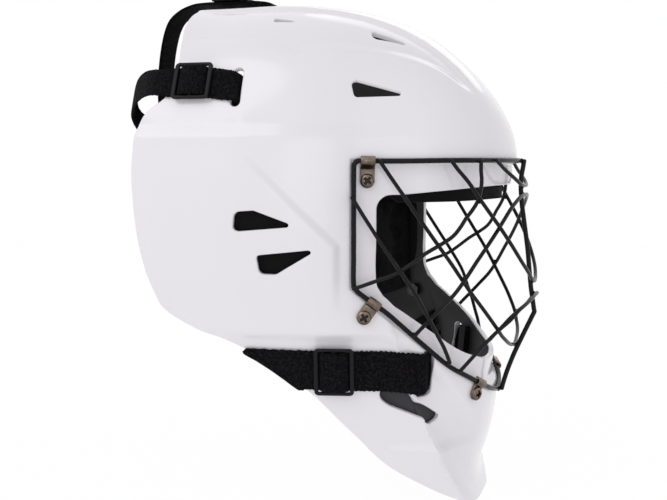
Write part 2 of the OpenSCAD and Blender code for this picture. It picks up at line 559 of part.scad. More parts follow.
upper_dz = strap_w * 0.92;
slot_th = atan2(ear_half_w - 11, upper_slot[0] - axis_x);
upper_rows = concat(
    [for (q = [[-11, tail], [-3.2, tail], [-0.5, -2.4], [1.4, lie]]) slot_row(slot_th, upper_slot[1], strap_w, q[0], q[1])],
    [for (th = [122 : 4 : 134]) level_row(th, mix(upper_slot[1], 110, ease(118, 130, th)), upper_dz, lie)],
    [free_row([-84.5, ear_half_w - 10.4, 110.8], strap_w, [0, -0.42, 0.9]),
     free_row([-93, ear_half_w - 14, 111], strap_w, [0, -0.4, 0.9]),
     free_row([-103, ear_half_w - 23, 110], strap_w, [0.05, -0.3, 0.95]),
     free_row([-113, ear_half_w - 34.5, 106], strap_w, [0.15, -0.1, 0.97]),
     free_row([-120.5, 64, 98], strap_w, [0.25, 0.2, 0.93]), free_row([-121.5, 52, 88], strap_w, [0.2, 0.45, 0.87]),
     plate_row(37, 76, strap_w, [0.6, 0.8]), plate_row(22, 64, strap_w, [0.62, 0.78])]);
module upper_strap() {
    sheet(upper_rows, strap_t);
}
module upper_strap_left() {
    color(strap_black) upper_strap();
}
module upper_strap_right() {
    color(strap_black) mirror([0, 1, 0]) upper_strap();
}

function crown_row(x, z) = free_row([x, 0, z], wide_strap_w, [0, 1, 0]);
crown_rows = concat(
    [crown_row(crown_slot_x + 9, crown_h + tail), crown_row(crown_slot_x + 3.5, crown_h + tail),
     crown_row(crown_slot_x + 0.6, crown_h - 3), crown_row(crown_slot_x - 1, crown_h + 1.8), crown_row(-50, crown_h + 3.5)],
    [for (x = [-58 : -10 : -88]) crown_row(x, crown_h + 4)],
    [crown_row(-99, crown_h + 3), crown_row(-110, crown_h - 1.5), crown_row(-118, crown_h - 10), crown_row(-123, 140),
     crown_row(-125.5, 115), crown_row(-124.5, 92), plate_row(0, 68, wide_strap_w, [1, 0]),
     plate_row(0, 50, wide_strap_w, [1, 0])]);
module crown_strap() {
    color(strap_black) sheet(crown_rows, strap_t);
}

jaw_th = atan2(71, jaw_slot[0] - axis_x);
jaw_z = jaw_slot[1] + 2;
// Where each line of the strap meets the lower rim, and a place before or past that edge
rim_low = [for (q = rim) if (q[1] < -40) q];
function rim_x(k) = -8 - (75 + jaw_z + k * wide_strap_w / 2) / 0.726;
function fold(past, h) = bedded([for (k = across) let (x = rim_x(k))
    side_at(x - 0.59 * past, lookup(x, rim_low) - 0.81 * past)], h);
function inward(s) = bedded([for (k = across) let (x = mix(rim_x(k), -8 - 13 * k, s / 30))
    side_at(x - 0.31 * s, mix(lookup(rim_x(k), rim_low), -75 - 4 * k, s / 30) + 0.95 * s)], -wall - 3.7);
jaw_rows = concat(
    [for (q = [[-15, tail], [-8.5, tail], [-2.8, -2.4]]) slot_row(jaw_th, jaw_slot[1], wide_strap_w, q[0], q[1])],
    [for (th = [jaw_th + 1, 55, 59, 63, 67]) level_row(th, jaw_slot[1] + 2 * ease(50, 70, th), wide_strap_w, lie)],
    [for (x = [47 : -10 : 7]) side_row([x, x, x, x, x], jaw_z, wide_strap_w, lie)],
    [for (t = [0.35, 0.7, 1]) side_row([for (k = across) mix(5, rim_x(k) + 2.5, t)], jaw_z, wide_strap_w, lie)],
    [fold(1.9, 1.2), fold(3.1, -2), fold(2.5, -6.2), inward(5), inward(20)],
    [free_row([-26, ear_half_w - 20, -33], wide_strap_w, [-0.9, 0, -0.45]),
     free_row([-48, ear_half_w - 27, -14], wide_strap_w, [-0.6, 0.05, -0.8]),
     free_row([-80, ear_half_w - 41, 4], wide_strap_w, [-0.4, 0.1, -0.9]), free_row([-105, 55, 14], wide_strap_w, [-0.2, 0, -0.97]),
     free_row([-117, 43, 19], wide_strap_w, [-0.05, -0.1, -1]), plate_row(30, 25, wide_strap_w, [-0.3, -0.95]),
     plate_row(16, 30, wide_strap_w, [-0.3, -0.95])]);
module jaw_strap() {
    sheet(jaw_rows, strap_t);
}
module jaw_strap_left() {
    color(strap_black) jaw_strap();
}
module jaw_strap_right() {
    color(strap_black) mirror([0, 1, 0]) jaw_strap();
}

// Slider with three bars, and the turn of strap over its middle bar
module slider(w) {
    bar = 2.6;
    rail = 2;
    base = gap + strap_t + gap;
    for (x = [-1, 0, 1]) translate([x * (slider_l - bar) / 2 - bar / 2, -w / 2 - 0.5, base]) cube([bar, w + 1, slider_t]);
    for (s = [-1, 1]) translate([-slider_l / 2, s * (w / 2 + 1.4) - rail / 2, base]) cube([slider_l, rail, slider_t]);
}
module turn(w) {
    base = gap + strap_t + gap;
    high = base + slider_t + 0.2;
    foot = slider_l / 2 - 3.5;
    rotate([90, 0, 0]) linear_extrude(w, center = true)
        polygon([[-foot, base], [-3.4, high + strap_t - 0.2], [3.4, high + strap_t - 0.2], [foot, base],
            [foot - 2.6, base], [2.2, high], [-2.2, high], [2.6 - foot, base]]);
}
module at_level(th, z) {
    p = skin_pt(th, z);
    n = level_n(th, z);
    x = unit(cross([0, 0, 1], n));
    on_axes(p, x, cross(n, x), n) children();
}
module at_crown(x) {
    translate([x, 0, crown_h + 4 - lie]) children();
}
upper_slider_at = [130, 109.7];
jaw_slider_at = [87, jaw_z];
crown_slider_x = -72;
module upper_slider_left() {
    color(slider_black) at_level(upper_slider_at[0], upper_slider_at[1]) slider(strap_w);
}
module upper_slider_right() {
    color(slider_black) mirror([0, 1, 0]) at_level(upper_slider_at[0], upper_slider_at[1]) slider(strap_w);
}
module jaw_slider_left() {
    color(slider_black) at_level(jaw_slider_at[0], jaw_slider_at[1]) slider(wide_strap_w);
}
module jaw_slider_right() {
    color(slider_black) mirror([0, 1, 0]) at_level(jaw_slider_at[0], jaw_slider_at[1]) slider(wide_strap_w);
}
module crown_slider() {
    color(slider_black) at_crown(crown_slider_x) slider(wide_strap_w);
}
module upper_turn_left() {
    color(strap_black) at_level(upper_slider_at[0], upper_slider_at[1]) turn(strap_w);
}
module upper_turn_right() {
    color(strap_black) mirror([0, 1, 0]) at_level(upper_slider_at[0], upper_slider_at[1]) turn(strap_w);
}
module jaw_turn_left() {
    color(strap_black) at_level(jaw_slider_at[0], jaw_slider_at[1]) turn(wide_strap_w);
}
module jaw_turn_right() {
    color(strap_black) mirror([0, 1, 0]) at_level(jaw_slider_at[0], jaw_slider_at[1]) turn(wide_strap_w);
}
module crown_turn() {
    color(strap_black) at_crown(crown_slider_x) turn(wide_strap_w);
}

// Keeper bars behind the slots
module strap_keepers() {
    color(slider_black) {
        both_sides() at_level(slot_th, upper_slot[1]) translate([-10.5, -strap_w / 2, tail - 3.7]) cube([5, strap_w, 2.5]);
        both_sides() at_level(jaw_th, jaw_slot[1]) translate([-14, -wide_strap_w / 2, tail - 3.7]) cube([5, wide_strap_w, 2.5]);
        translate([crown_slot_x + 4, -wide_strap_w / 2, crown_h + tail - 3.7]) cube([5, wide_strap_w, 2.5]);
    }
}

// Back plate with its pad, held by the straps in the open back
function plate_pt(u, v, x) = let (s = sqrt(1 - v * v / 2.4), c = sqrt(1 - u * u / 2.4),
    y = u * s * plate_w / 2 * 1.15, z = v * c * plate_h / 2 * 1.15)
    [x + 0.006 * y * y + 0.0025 * z * z, y, 45 + z];
function plate_grid(x, n) = [for (i = [0 : n - 1]) [for (j = [0 : n - 1])
    plate_pt(2 * i / (n - 1) - 1, 2 * j / (n - 1) - 1, x)]];
module back_plate() {
    color(slider_black) sheet(plate_grid(plate_x, 11), plate_t);
}
module back_pad() {
    n = 11;
    g = plate_grid(plate_x + plate_t / 2 + gap, n);
    front = [for (i = [0 : n - 1], j = [0 : n - 1]) let (u = 2 * i / (n - 1) - 1, v = 2 * j / (n - 1) - 1)
        g[i][j] + [4 + 7 * (1 - u ^ 4) * (1 - v ^ 4), 0, 0]];
    back = [for (i = [0 : n - 1], j = [0 : n - 1]) g[i][j]];
    color(pad_black) slab(concat(front, back), n, n);
}

shell();
cage_frame();
cage_centre_bar();
cage_wires_temple();
cage_wire_loop();
cage_wire_vee();
cage_wire_brow();
cage_wires_cheek();
cage_wire_arch();
cage_wire_chin();
clips_temple();
clips_jaw();
clips_chin();
clip_screws();
clip_nuts();
brow_pad();
crown_pad();
side_pad_right();
side_pad_left();
jaw_pad_right();
jaw_pad_left();
crown_strap();
upper_strap_right();
upper_strap_left();
jaw_strap_right();
jaw_strap_left();
crown_slider();
upper_slider_right();
upper_slider_left();
jaw_slider_right();
jaw_slider_left();
crown_turn();
upper_turn_right();
upper_turn_left();
jaw_turn_right();
jaw_turn_left();
strap_keepers();
back_plate();
back_pad();
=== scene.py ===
"""Looks of a floorball goalie helmet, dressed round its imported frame.

Shapes are worked out in millimetres, as in the CAD source, and become metres when a mesh is made.
The wearer looks along +X, +Y is to the wearer's left and +Z is up.
"""
import logging
import math
from dataclasses import dataclass, field
from enum import Enum
from typing import Callable, Sequence

import bmesh
import bpy
import numpy as np
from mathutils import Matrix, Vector
from mathutils.geometry import convex_hull_2d, delaunay_2d_cdt


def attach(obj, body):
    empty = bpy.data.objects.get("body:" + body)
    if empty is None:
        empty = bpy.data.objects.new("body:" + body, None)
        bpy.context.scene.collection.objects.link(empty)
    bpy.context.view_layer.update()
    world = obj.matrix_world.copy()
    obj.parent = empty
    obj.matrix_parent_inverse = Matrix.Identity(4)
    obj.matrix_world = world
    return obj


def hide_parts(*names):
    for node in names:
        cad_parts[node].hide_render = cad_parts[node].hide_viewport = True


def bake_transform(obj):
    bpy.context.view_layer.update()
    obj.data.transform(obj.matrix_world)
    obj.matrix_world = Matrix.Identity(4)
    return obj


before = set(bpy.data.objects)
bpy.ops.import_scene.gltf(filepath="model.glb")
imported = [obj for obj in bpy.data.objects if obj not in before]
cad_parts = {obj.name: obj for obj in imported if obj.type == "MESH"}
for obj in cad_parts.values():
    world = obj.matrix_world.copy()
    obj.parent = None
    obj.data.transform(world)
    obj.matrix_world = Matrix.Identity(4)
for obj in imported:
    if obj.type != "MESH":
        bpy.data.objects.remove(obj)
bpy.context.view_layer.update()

LOG = logging.getLogger("helmet")
MM = 0.001
TINY = 1e-12
CIRCLE_SIDES = 36
Array = np.ndarray
Patch = tuple[Array, list[list[int]]]
Aim = Callable[[Array, Array], Array]
Front = Callable[[Array, Array], tuple[Array, Array]]


class Body(Enum):
    """The moving groups of the frame."""

    HELMET = "helmet"
    CROWN = "crown_adjuster"
    UPPER_RIGHT = "upper_adjuster_right"
    UPPER_LEFT = "upper_adjuster_left"
    JAW_RIGHT = "jaw_adjuster_right"
    JAW_LEFT = "jaw_adjuster_left"
    BACK = "back"


class Side(Enum):
    """A side of the wearer, as the sign of Y."""

    LEFT = 1
    RIGHT = -1

    @property
    def word(self) -> str:
        """The side as it ends the name of a node."""
        return self.name.lower()


# Numbers and vectors

def ease(low: float, high: float, x: Array) -> Array:
    """Smooth step from 0 at low to 1 at high."""
    t = np.clip((x - low) / (high - low), 0, 1)
    return t * t * (3 - 2 * t)


def mix(a: Array, b: Array, t: Array) -> Array:
    """Value between a and b at share t."""
    return a + (b - a) * t


def unit(v: Array) -> Array:
    """Vectors of length 1 along v."""
    return v / np.maximum(np.linalg.norm(v, axis=-1, keepdims=True), TINY)


def flipped(points: Array) -> Array:
    """The same points on the other side of the helmet."""
    return points * np.array([1.0, -1.0, 1.0])


def glide(points: Sequence[Sequence[float]], steps: int, closed: bool = False) -> Array:
    """Smooth line through points.

    Args:
        points: the points that the line passes through, each of any length.
        steps: how many parts lie between two of them.
        closed: whether the line returns to its start.

    Returns:
        The points of the finer line, one row each.
    """
    p = np.asarray(points, float)
    n = len(p)
    nth = (lambda i: p[i % n]) if closed else (lambda i: p[min(n - 1, max(0, i))])
    out = []
    for i in range(n if closed else n - 1):
        a, b, c, d = nth(i - 1), nth(i), nth(i + 1), nth(i + 2)
        for t in np.arange(steps) / steps:
            bend = 2 * a - 5 * b + 4 * c - d + t * (3 * (b - c) + d - a)
            out.append(b + 0.5 * t * ((c - a) + t * bend))
    if not closed:
        out.append(p[-1])
    return np.array(out)


def rounded(points: Sequence[Sequence[float]], radius: float, steps: int = 5) -> Array:
    """Line through points with its corners rounded.

    Args:
        points: the corners of the line.
        radius: how far from a corner its bend starts, at most.
        steps: how many parts a bend has.

    Returns:
        The points of the rounded line.
    """
    p = np.asarray(points, float)
    out = [p[0]]
    for a, b, c in zip(p, p[1:], p[2:]):
        r = min(radius, 0.45 * np.linalg.norm(b - a), 0.45 * np.linalg.norm(c - b))
        s, e = b + unit(a - b) * r, b + unit(c - b) * r
        for t in np.linspace(0, 1, steps + 1):
            out.append((1 - t) ** 2 * s + 2 * t * (1 - t) * b + t * t * e)
    out.append(p[-1])
    return np.array(out)


def arc_length(line: Array) -> Array:
    """How far along a line each of its points is."""
    return np.concatenate([[0.0], np.cumsum(np.linalg.norm(np.diff(line, axis=0), axis=1))])


def outline_distance(points: Array, outline: Array) -> Array:
    """Signed distance from a closed flat outline, below 0 inside it.

    Args:
        points: places in the plane of the outline, one row each.
        outline: the corners of the outline.

    Returns:
        One distance for each point.
    """
    a, b = outline, np.roll(outline, -1, axis=0)
    edge = b - a
    away = points[:, None, :] - a
    t = np.clip((away * edge).sum(-1) / (edge * edge).sum(-1), 0, 1)
    far = np.linalg.norm(away - edge * t[..., None], axis=-1).min(axis=1)
    level = (a[:, 1] <= points[:, 1:2]) != (b[:, 1] <= points[:, 1:2])
    rise = np.where(edge[:, 1] == 0, TINY, edge[:, 1])
    left = points[:, 0:1] < a[:, 0] + (points[:, 1:2] - a[:, 1]) / rise * edge[:, 0]
    return np.where((level & left).sum(axis=1) % 2 == 1, -far, far)


def drawn_in(outline: Array, by: float) -> Array:
    """A closed outline with each edge moved inwards.

    Args:
        outline: its corners.
        by: how far each edge moves.

    Returns:
        The corners of the smaller outline.
    """
    edge = unit(np.roll(outline, -1, axis=0) - outline)
    normal = np.stack([-edge[:, 1], edge[:, 0]], axis=1)
    if np.cross(outline, np.roll(outline, -1, axis=0)).sum() < 0:
        normal = -normal
    out = []
    for i in range(len(outline)):
        rows = np.array([normal[i - 1], normal[i]])
        out.append(np.linalg.solve(rows, (rows * outline[i]).sum(axis=1) + by))
    return np.array(out)


def around_circles(circles: Sequence[Sequence[float]]) -> Array:
    """Outline that wraps some circles.

    Args:
        circles: the centre and the radius of each.

    Returns:
        The corners of the outline.
    """
    turn = np.linspace(0, 2 * np.pi, CIRCLE_SIDES, endpoint=False)
    spots = np.concatenate([np.stack([x + r * np.cos(turn), y + r * np.sin(turn)], axis=1)
                            for x, y, r in circles])
    return spots[convex_hull_2d([tuple(s) for s in spots])]


def round_corners(turns: Sequence[float]) -> list[tuple[int, int, float]]:
    """Points on the rounded corners of a box, as the signs of a corner and an angle.

    Args:
        turns: the angles of the points of the first corner, in degrees.

    Returns:
        For each point the sides on which its corner lies, and its angle in radians.
    """
    corners = ((1, 1, 0), (-1, 1, 90), (-1, -1, 180), (1, -1, 270))
    return [(sx, sy, math.radians(low + t)) for sx, sy, low in corners for t in turns]


def placed(points: Array, table: Array) -> Array:
    """Points carried from their own axes into those of a 3 by 4 table of axes and origin."""
    return points @ table[:, :3].T + table[:, 3]


def on_side(points: Array, faces: list[list[int]], side: Side) -> Patch:
    """Points and faces of a piece of the left side, mirrored where the right one is asked for."""
    return (points, faces) if side is Side.LEFT else (flipped(points), [f[::-1] for f in faces])


# The form of the shell

@dataclass
class Form:
    """The smooth form that the shell, the cage and the harness follow."""

    crown_height: float = 168.0
    brow: float = 126.0
    ear_half_width: float = 111.0
    temple_half_width: float = 87.0
    chin_drop: float = 168.0
    chin: float = 113.0
    wall: float = 4.0
    rear: float = 100.0
    belt_height: float = 80.0
    belt_step: float = 2.5
    panel_step: float = 2.5
    band_depth: float = 2.5
    cheek_depth: float = 3.0
    seat_depth: float = 3.5
    bar_height: float = 61.0
    upright: float = 37.5
    axis: float = 20.0
    centre: float = 40.0
    ring: float = 105.0
    crown_fullness: float = 2.4
    chin_fullness: float = 2.2
    full_from: tuple[float, float] = (5.0, 55.0)
    belt_edge: float = 5.0
    belt_front: tuple[float, float] = (20.0, 75.0)
    belt_foot: tuple[float, float] = (-60.0, -40.0)
    crease_spot: tuple[float, float] = (25.0, 11.0)
    crease_way: tuple[float, float] = (0.723, 0.691)
    panel_edge: float = 3.0
    panel_front: float = 27.0
    panel_foot: tuple[float, float] = (-38.0, -8.0)
    panel_head: tuple[float, float] = (45.0, 72.0)
    band_edge: float = 3.0
    band_inner: float = 36.0
    band_outer: tuple[float, float] = (81.0, 0.38)
    band_slope: float = 4.0
    band_front: tuple[float, float] = (92.0, 108.0)
    band_rear: tuple[float, float] = (-100.0, -60.0)
    band_foot: tuple[float, float] = (60.0, 90.0)
    cheek_top: tuple[float, float, float] = (50.0, -47.0, 0.0192)
    cheek_edge: tuple[float, float] = (-3.0, 5.0)
    cheek_end: tuple[float, float] = (-121.0, 4.0)
    cheek_front: tuple[float, float] = (30.0, 60.0)
    cheek_inner: tuple[float, float] = (26.0, 42.0)
    cheek_rear: tuple[float, float] = (-75.0, -45.0)
    seat_line: tuple[float, float, float] = (0.665, 0.747, 18.0)
    seat_margin: float = 0.5
    seat_edge: tuple[float, float] = (-1.5, 2.5)
    seat_soft: float = 6.0
    inner_soft: float = 3.0
    slope_step: float = 1.5
    lines: dict[str, tuple[Array, Array, Array]] = field(init=False, default_factory=dict)

    def __post_init__(self) -> None:
        """Works out the three profile lines of the form."""
        h, b, e, t, d, c = (self.crown_height, self.brow, self.ear_half_width, self.temple_half_width,
                            self.chin_drop, self.chin)
        crown = [[b, 40], [b + 1, 58], [b - 2.5, 80], [b - 12, 99], [102, h - 53], [88, h - 38.5],
                 [61, h - 19], [27, h - 6.5], [-4, h - 1.5], [-40, h], [-68, h - 0.5], [-106, h - 2.5],
                 [-130, h - 7]]
        side = [[b, 0], [b - 6, 30], [105, 60], [86, t - 12.5], [64, t - 4.5], [48, t], [34, e - 19],
                [12, e - 9], [-20, e - 2], [-60, e], [-98, e - 2], [-130, e - 9]]
        chin = [[b, 40], [b - 1, 0], [c + 7, -40], [c + 0.5, -78], [c, 66 - d], [c - 4.5, 43 - d],
                [c - 9, 29 - d], [c - 10, 21 - d], [c - 9, 12 - d], [c - 5.5, -d], [c - 4, -14 - d],
                [60, -22 - d], [0, -165], [-60, -140], [-130, -110]]
        for name, line in {"crown": crown, "side": side, "chin": chin}.items():
            p, level = np.array(line, float), 0.0 if name == "side" else self.centre
            angle = np.degrees(np.arctan2(np.abs(p[:, 1] - level), p[:, 0]))
            far = np.hypot(p[:, 0], p[:, 1] - level)
            slope = np.zeros(len(p))
            slope[1:-1] = (far[2:] - far[:-2]) / (angle[2:] - angle[:-2])
            slope[-1] = (far[-1] - far[-2]) / (angle[-1] - angle[-2])
            self.lines[name] = (angle, far, slope)

    def along(self, name: str, angle: Array) -> Array:
        """Distance of a profile line from the centre.

        Args:
            name: the profile line.
            angle: the angles from straight ahead, in degrees.

        Returns:
            One distance for each angle.
        """
        at, far, slope = self.lines[name]
        i = np.clip(np.searchsorted(at, angle, side="right") - 1, 0, len(at) - 2)
        h = at[i + 1] - at[i]
        t = np.clip((angle - at[i]) / h, 0, 1)
        return ((2 * t ** 3 - 3 * t ** 2 + 1) * far[i] + (t ** 3 - 2 * t ** 2 + t) * h * slope[i]
                + (3 * t ** 2 - 2 * t ** 3) * far[i + 1] + (t ** 3 - t ** 2) * h * slope[i + 1])

    def radius(self, way: Array) -> Array:
        """Distance of the form from the centre.

        Args:
            way: directions of length 1.

        Returns:
            One distance for each direction.
        """
        angle = np.degrees(np.arccos(np.clip(way[..., 0], -1, 1)))
        off = np.maximum(np.hypot(way[..., 1], way[..., 2]), TINY)
        up = way[..., 2] >= 0
        full = 2 + (np.where(up, self.crown_fullness, self.chin_fullness) - 2) * ease(*self.full_from, angle)
        rise = np.where(up, self.along("crown", angle), self.along("chin", angle))
        return ((np.abs(way[..., 1]) / off / self.along("side", angle)) ** full
                + (np.maximum(np.abs(way[..., 2]), TINY) / off / rise) ** full) ** (-1 / full)

    def beyond(self, p: Array) -> Array:
        """How far outside the form some points are, seen from the centre.

        Args:
            p: the points.

        Returns:
            One distance for each, below 0 inside the form.
        """
        v = p - np.array([0, 0, self.centre])
        far = np.linalg.norm(v, axis=-1)
        return far - self.radius(v / far[..., None])

    def reach(self, origin: Array, way: Array) -> Array:
        """Distance at which rays leave the form.

        Args:
            origin: where each ray starts, inside the form.
            way: its direction, of length 1.

        Returns:
            The distance along each ray.
        """
        origin, way = np.broadcast_arrays(np.asarray(origin, float), np.asarray(way, float))
        low, high = np.full(way.shape[:-1], 40.0), np.full(way.shape[:-1], 240.0)
        f_low, f_high = np.full(low.shape, -60.0), np.full(low.shape, 60.0)
        for i in range(10):
            middle = (low + high) / 2 if i < 6 else low + (high - low) * f_low / (f_low - f_high)
            f = self.beyond(origin + way * middle[..., None])
            inside = f < 0
            low, f_low = np.where(inside, middle, low), np.where(inside, f, f_low)
            high, f_high = np.where(inside, high, middle), np.where(inside, f_high, f)
        return low + (high - low) * f_low / (f_low - f_high)

    # Raised and sunk features

    def belt(self, p: Array, soft: float = 1) -> Array:
        """Height of the side panels below the belt line, at the points p, with edges soft times as wide."""
        x, z, edge = p[..., 0], p[..., 2], self.belt_edge * soft
        return (self.belt_step * (1 - ease(self.belt_height - edge, self.belt_height + edge, z))
                * (1 - ease(*self.belt_front, x)) * ease(*self.belt_foot, z))

    def panel(self, p: Array, soft: float = 1) -> Array:
        """Height of the ear panels behind the diagonal crease.

        Args:
            p: the points of the form.
            soft: how many times as wide the edges are.

        Returns:
            One height for each point.
        """
        x, z = p[..., 0], p[..., 2]
        (x0, z0), (wx, wz) = self.crease_spot, self.crease_way
        ahead = (x - x0) * wx + (z - z0) * wz
        edge = self.panel_edge * soft
        return (self.panel_step * (1 - ease(-edge, edge, np.maximum(ahead, x - self.panel_front)))
                * ease(*self.panel_foot, z) * (1 - ease(*self.panel_head, z)))

    def band(self, p: Array, soft: float = 1) -> Array:
        """Depth of the two bands along the crown.

        Args:
            p: the points of the form.
            soft: how many times as wide the edges are.

        Returns:
            One height for each point, 0 or below.
        """
        y, edge, slope = np.abs(p[..., 1]), self.band_edge * soft, self.band_slope * soft
        low = self.band_outer[0] - self.band_outer[1] * np.maximum(0, p[..., 0])
        return (-self.band_depth * ease(self.band_inner - edge, self.band_inner + edge, y)
                * (1 - ease(0, 1, (y - low + slope) / (2 * slope)))
                * (1 - ease(*self.band_front, p[..., 0])) * ease(*self.band_rear, p[..., 0])
                * ease(*self.band_foot, p[..., 2]))

    def cheek(self, p: Array, soft: float = 1) -> Array:
        """Depth of the channel that runs from the ear to the chin.

        Args:
            p: the points of the form.
            soft: how many times as wide the edges are.

        Returns:
            One height for each point, 0 or below.
        """
        x, y, z = p[..., 0], np.abs(p[..., 1]), p[..., 2]
        from_x, top, fall = self.cheek_top
        dx = np.maximum(0, x - from_x)
        above = (top - fall * dx ** 2 - z) / np.hypot(1, 2 * fall * dx)
        end, edge = self.cheek_end[0], self.cheek_end[1] * soft
        foot = mix(1, ease(-edge, edge, z - end), ease(*self.cheek_front, x))
        return (-self.cheek_depth * ease(self.cheek_edge[0] * soft, self.cheek_edge[1] * soft, above) * foot
                * ease(*self.cheek_inner, y) * ease(*self.cheek_rear, x))

    def seat(self, p: Array, soft: float = 1) -> Array:
        """Depth of the step that the cage frame closes.

        Args:
            p: the points of the form.
            soft: how many times as wide the edges are.

        Returns:
            One height for each point, 0 or below.
        """
        ahead, (low, high), (way_x, way_z, drop) = p[..., 0] - self.upright, self.seat_edge, self.seat_line
        d = np.minimum(np.minimum(self.bar_height + self.seat_margin - p[..., 2], ahead - low),
                       ahead * way_x + (p[..., 2] + drop) * way_z + self.seat_margin)
        return -self.seat_depth * ease(low - self.seat_soft * (soft - 1), high, d)

    def relief(self, p: Array, soft: float = 1) -> Array:
        """Height of all features at p, with edges soft times as wide."""
        return (self.belt(p, soft) + self.panel(p, soft) + self.band(p, soft) + self.cheek(p, soft)
                + self.seat(p, soft))

    # The form unrolled on a plane: a disc of radius 1 is the dome, and the sides lie round it

    def scale(self, uv: Array) -> Array:
        """Millimetres on the form for each unit of the plane, at the places uv."""
        r = np.hypot(uv[..., 0], uv[..., 1])
        return np.where(r < 1, 2 * self.ring / (1 + r * r), self.ring / np.maximum(r, TINY))

    def outward(self, turn: Array, up: Array, z: Array) -> Array:
        """Points of the form seen from its upright axis.

        Args:
            turn: the angles about the axis, in radians.
            up: the angles above the level.
            z: the heights on the axis.

        Returns:
            One point for each.
        """
        way = np.stack([np.cos(up) * np.cos(turn), np.cos(up) * np.sin(turn), np.sin(up)], axis=-1)
        origin = np.stack([np.full(z.shape, self.axis), np.zeros(z.shape), z], axis=-1)
        return origin + way * self.reach(origin, way)[..., None]

    def point(self, uv: Array) -> Array:
        """Points of the form.

        Args:
            uv: their places in the plane.

        Returns:
            One point for each place.
        """
        r, turn = np.hypot(uv[..., 0], uv[..., 1]), np.arctan2(uv[..., 1], uv[..., 0])
        up = np.where(r <= 1, np.pi / 2 - 2 * np.arctan(r), 0)
        return self.outward(turn, up, self.centre - self.ring * np.log(np.maximum(r, 1)))

    def across(self, uv: Array, surface: Callable[[Array], Array], step: float) -> Array:
        """Directions out of a surface over the plane.

        Args:
            uv: places in the plane.
            surface: gives the points of the surface for places in the plane.
            step: distance in millimetres over which the slope is taken.

        Returns:
            One direction of length 1 for each place.
        """
        d = step / self.scale(uv)
        ahead, aside = np.stack([d, 0 * d], axis=-1), np.stack([0 * d, d], axis=-1)
        return unit(np.cross(surface(uv + ahead) - surface(uv - ahead),
                             surface(uv + aside) - surface(uv - aside)))

    def skin(self, uv: Array) -> Array:
        """Points of the outer skin with all its features, at the places uv."""
        p = self.point(uv)
        return p + self.relief(p)[..., None] * self.across(uv, self.point, self.slope_step)

    def skin_and_lining(self, uv: Array) -> tuple[Array, Array]:
        """Points of the outer skin and of the inner face behind them.

        Args:
            uv: places in the plane.

        Returns:
            The points of the skin and those of the inner face.
        """
        p = self.point(uv)
        n = self.across(uv, self.point, self.slope_step)
        return p + self.relief(p)[..., None] * n, p + (self.inner_relief(p) - self.wall)[..., None] * n

    def inner_relief(self, p: Array) -> Array:
        """Height of the features as they show on the inner face, with wider edges."""
        return self.relief(p, self.inner_soft)

    # Points by angle about the cage axis and height, as the cage and the harness use them

    def level(self, angle: Array, z: Array) -> Array:
        """Points of the form by angle and height.

        Args:
            angle: angles about the axis of the cage, in degrees.
            z: heights.

        Returns:
            One point for each angle and height.
        """
        angle, z = np.broadcast_arrays(np.asarray(angle, float), np.asarray(z, float))
        return self.outward(np.radians(angle), np.zeros(z.shape), z)

    def level_out(self, angle: Array, z: Array) -> Array:
        """Directions out of the form at the points of level.

        Args:
            angle: angles about the axis of the cage, in degrees.
            z: heights.

        Returns:
            One direction for each angle and height.
        """
        angle, z = np.asarray(angle, float), np.asarray(z, float)
        return unit(np.cross(self.level(angle + 2, z) - self.level(angle - 2, z),
                             self.level(angle, z + 2) - self.level(angle, z - 2)))

    def skin_at(self, angle: float, z: float) -> Array:
        """Point of the skin at an angle and height."""
        p = self.level(angle, z)
        return p + self.relief(p)[..., None] * self.level_out(angle, z)

    def side_at(self, x: float, z: float) -> tuple[Array, Array]:
        """Point of the form straight to the left of the middle plane.

        Args:
            x: where it is along the helmet.
            z: its height.

        Returns:
            The point, and the way out of the form there.
        """
        spots = np.array([[x, 0, z], [x - 2, 0, z], [x + 2, 0, z], [x, 0, z - 2], [x, 0, z + 2]], float)
        y = self.reach(spots, np.array([0.0, 1.0, 0.0]))
        return np.array([x, y[0], z]), unit(np.array([y[1] - y[2], 4, y[3] - y[4]]))

    def out_of(self, way: Array) -> Array:
        """Directions out of the form where rays from its centre leave it.

        Args:
            way: the directions of the rays.

        Returns:
            One direction for each ray.
        """
        t = unit(np.cross(way, np.array([0.3, 0.9, 0.31])))
        s = np.cross(t, way)
        a, b, c, d = (unit(way + 0.03 * v) for v in (t, -t, s, -s))
        grow = [q * self.radius(q)[..., None] for q in (a, b, c, d)]
        return -unit(np.cross(grow[0] - grow[1], grow[2] - grow[3]))


# Meshes

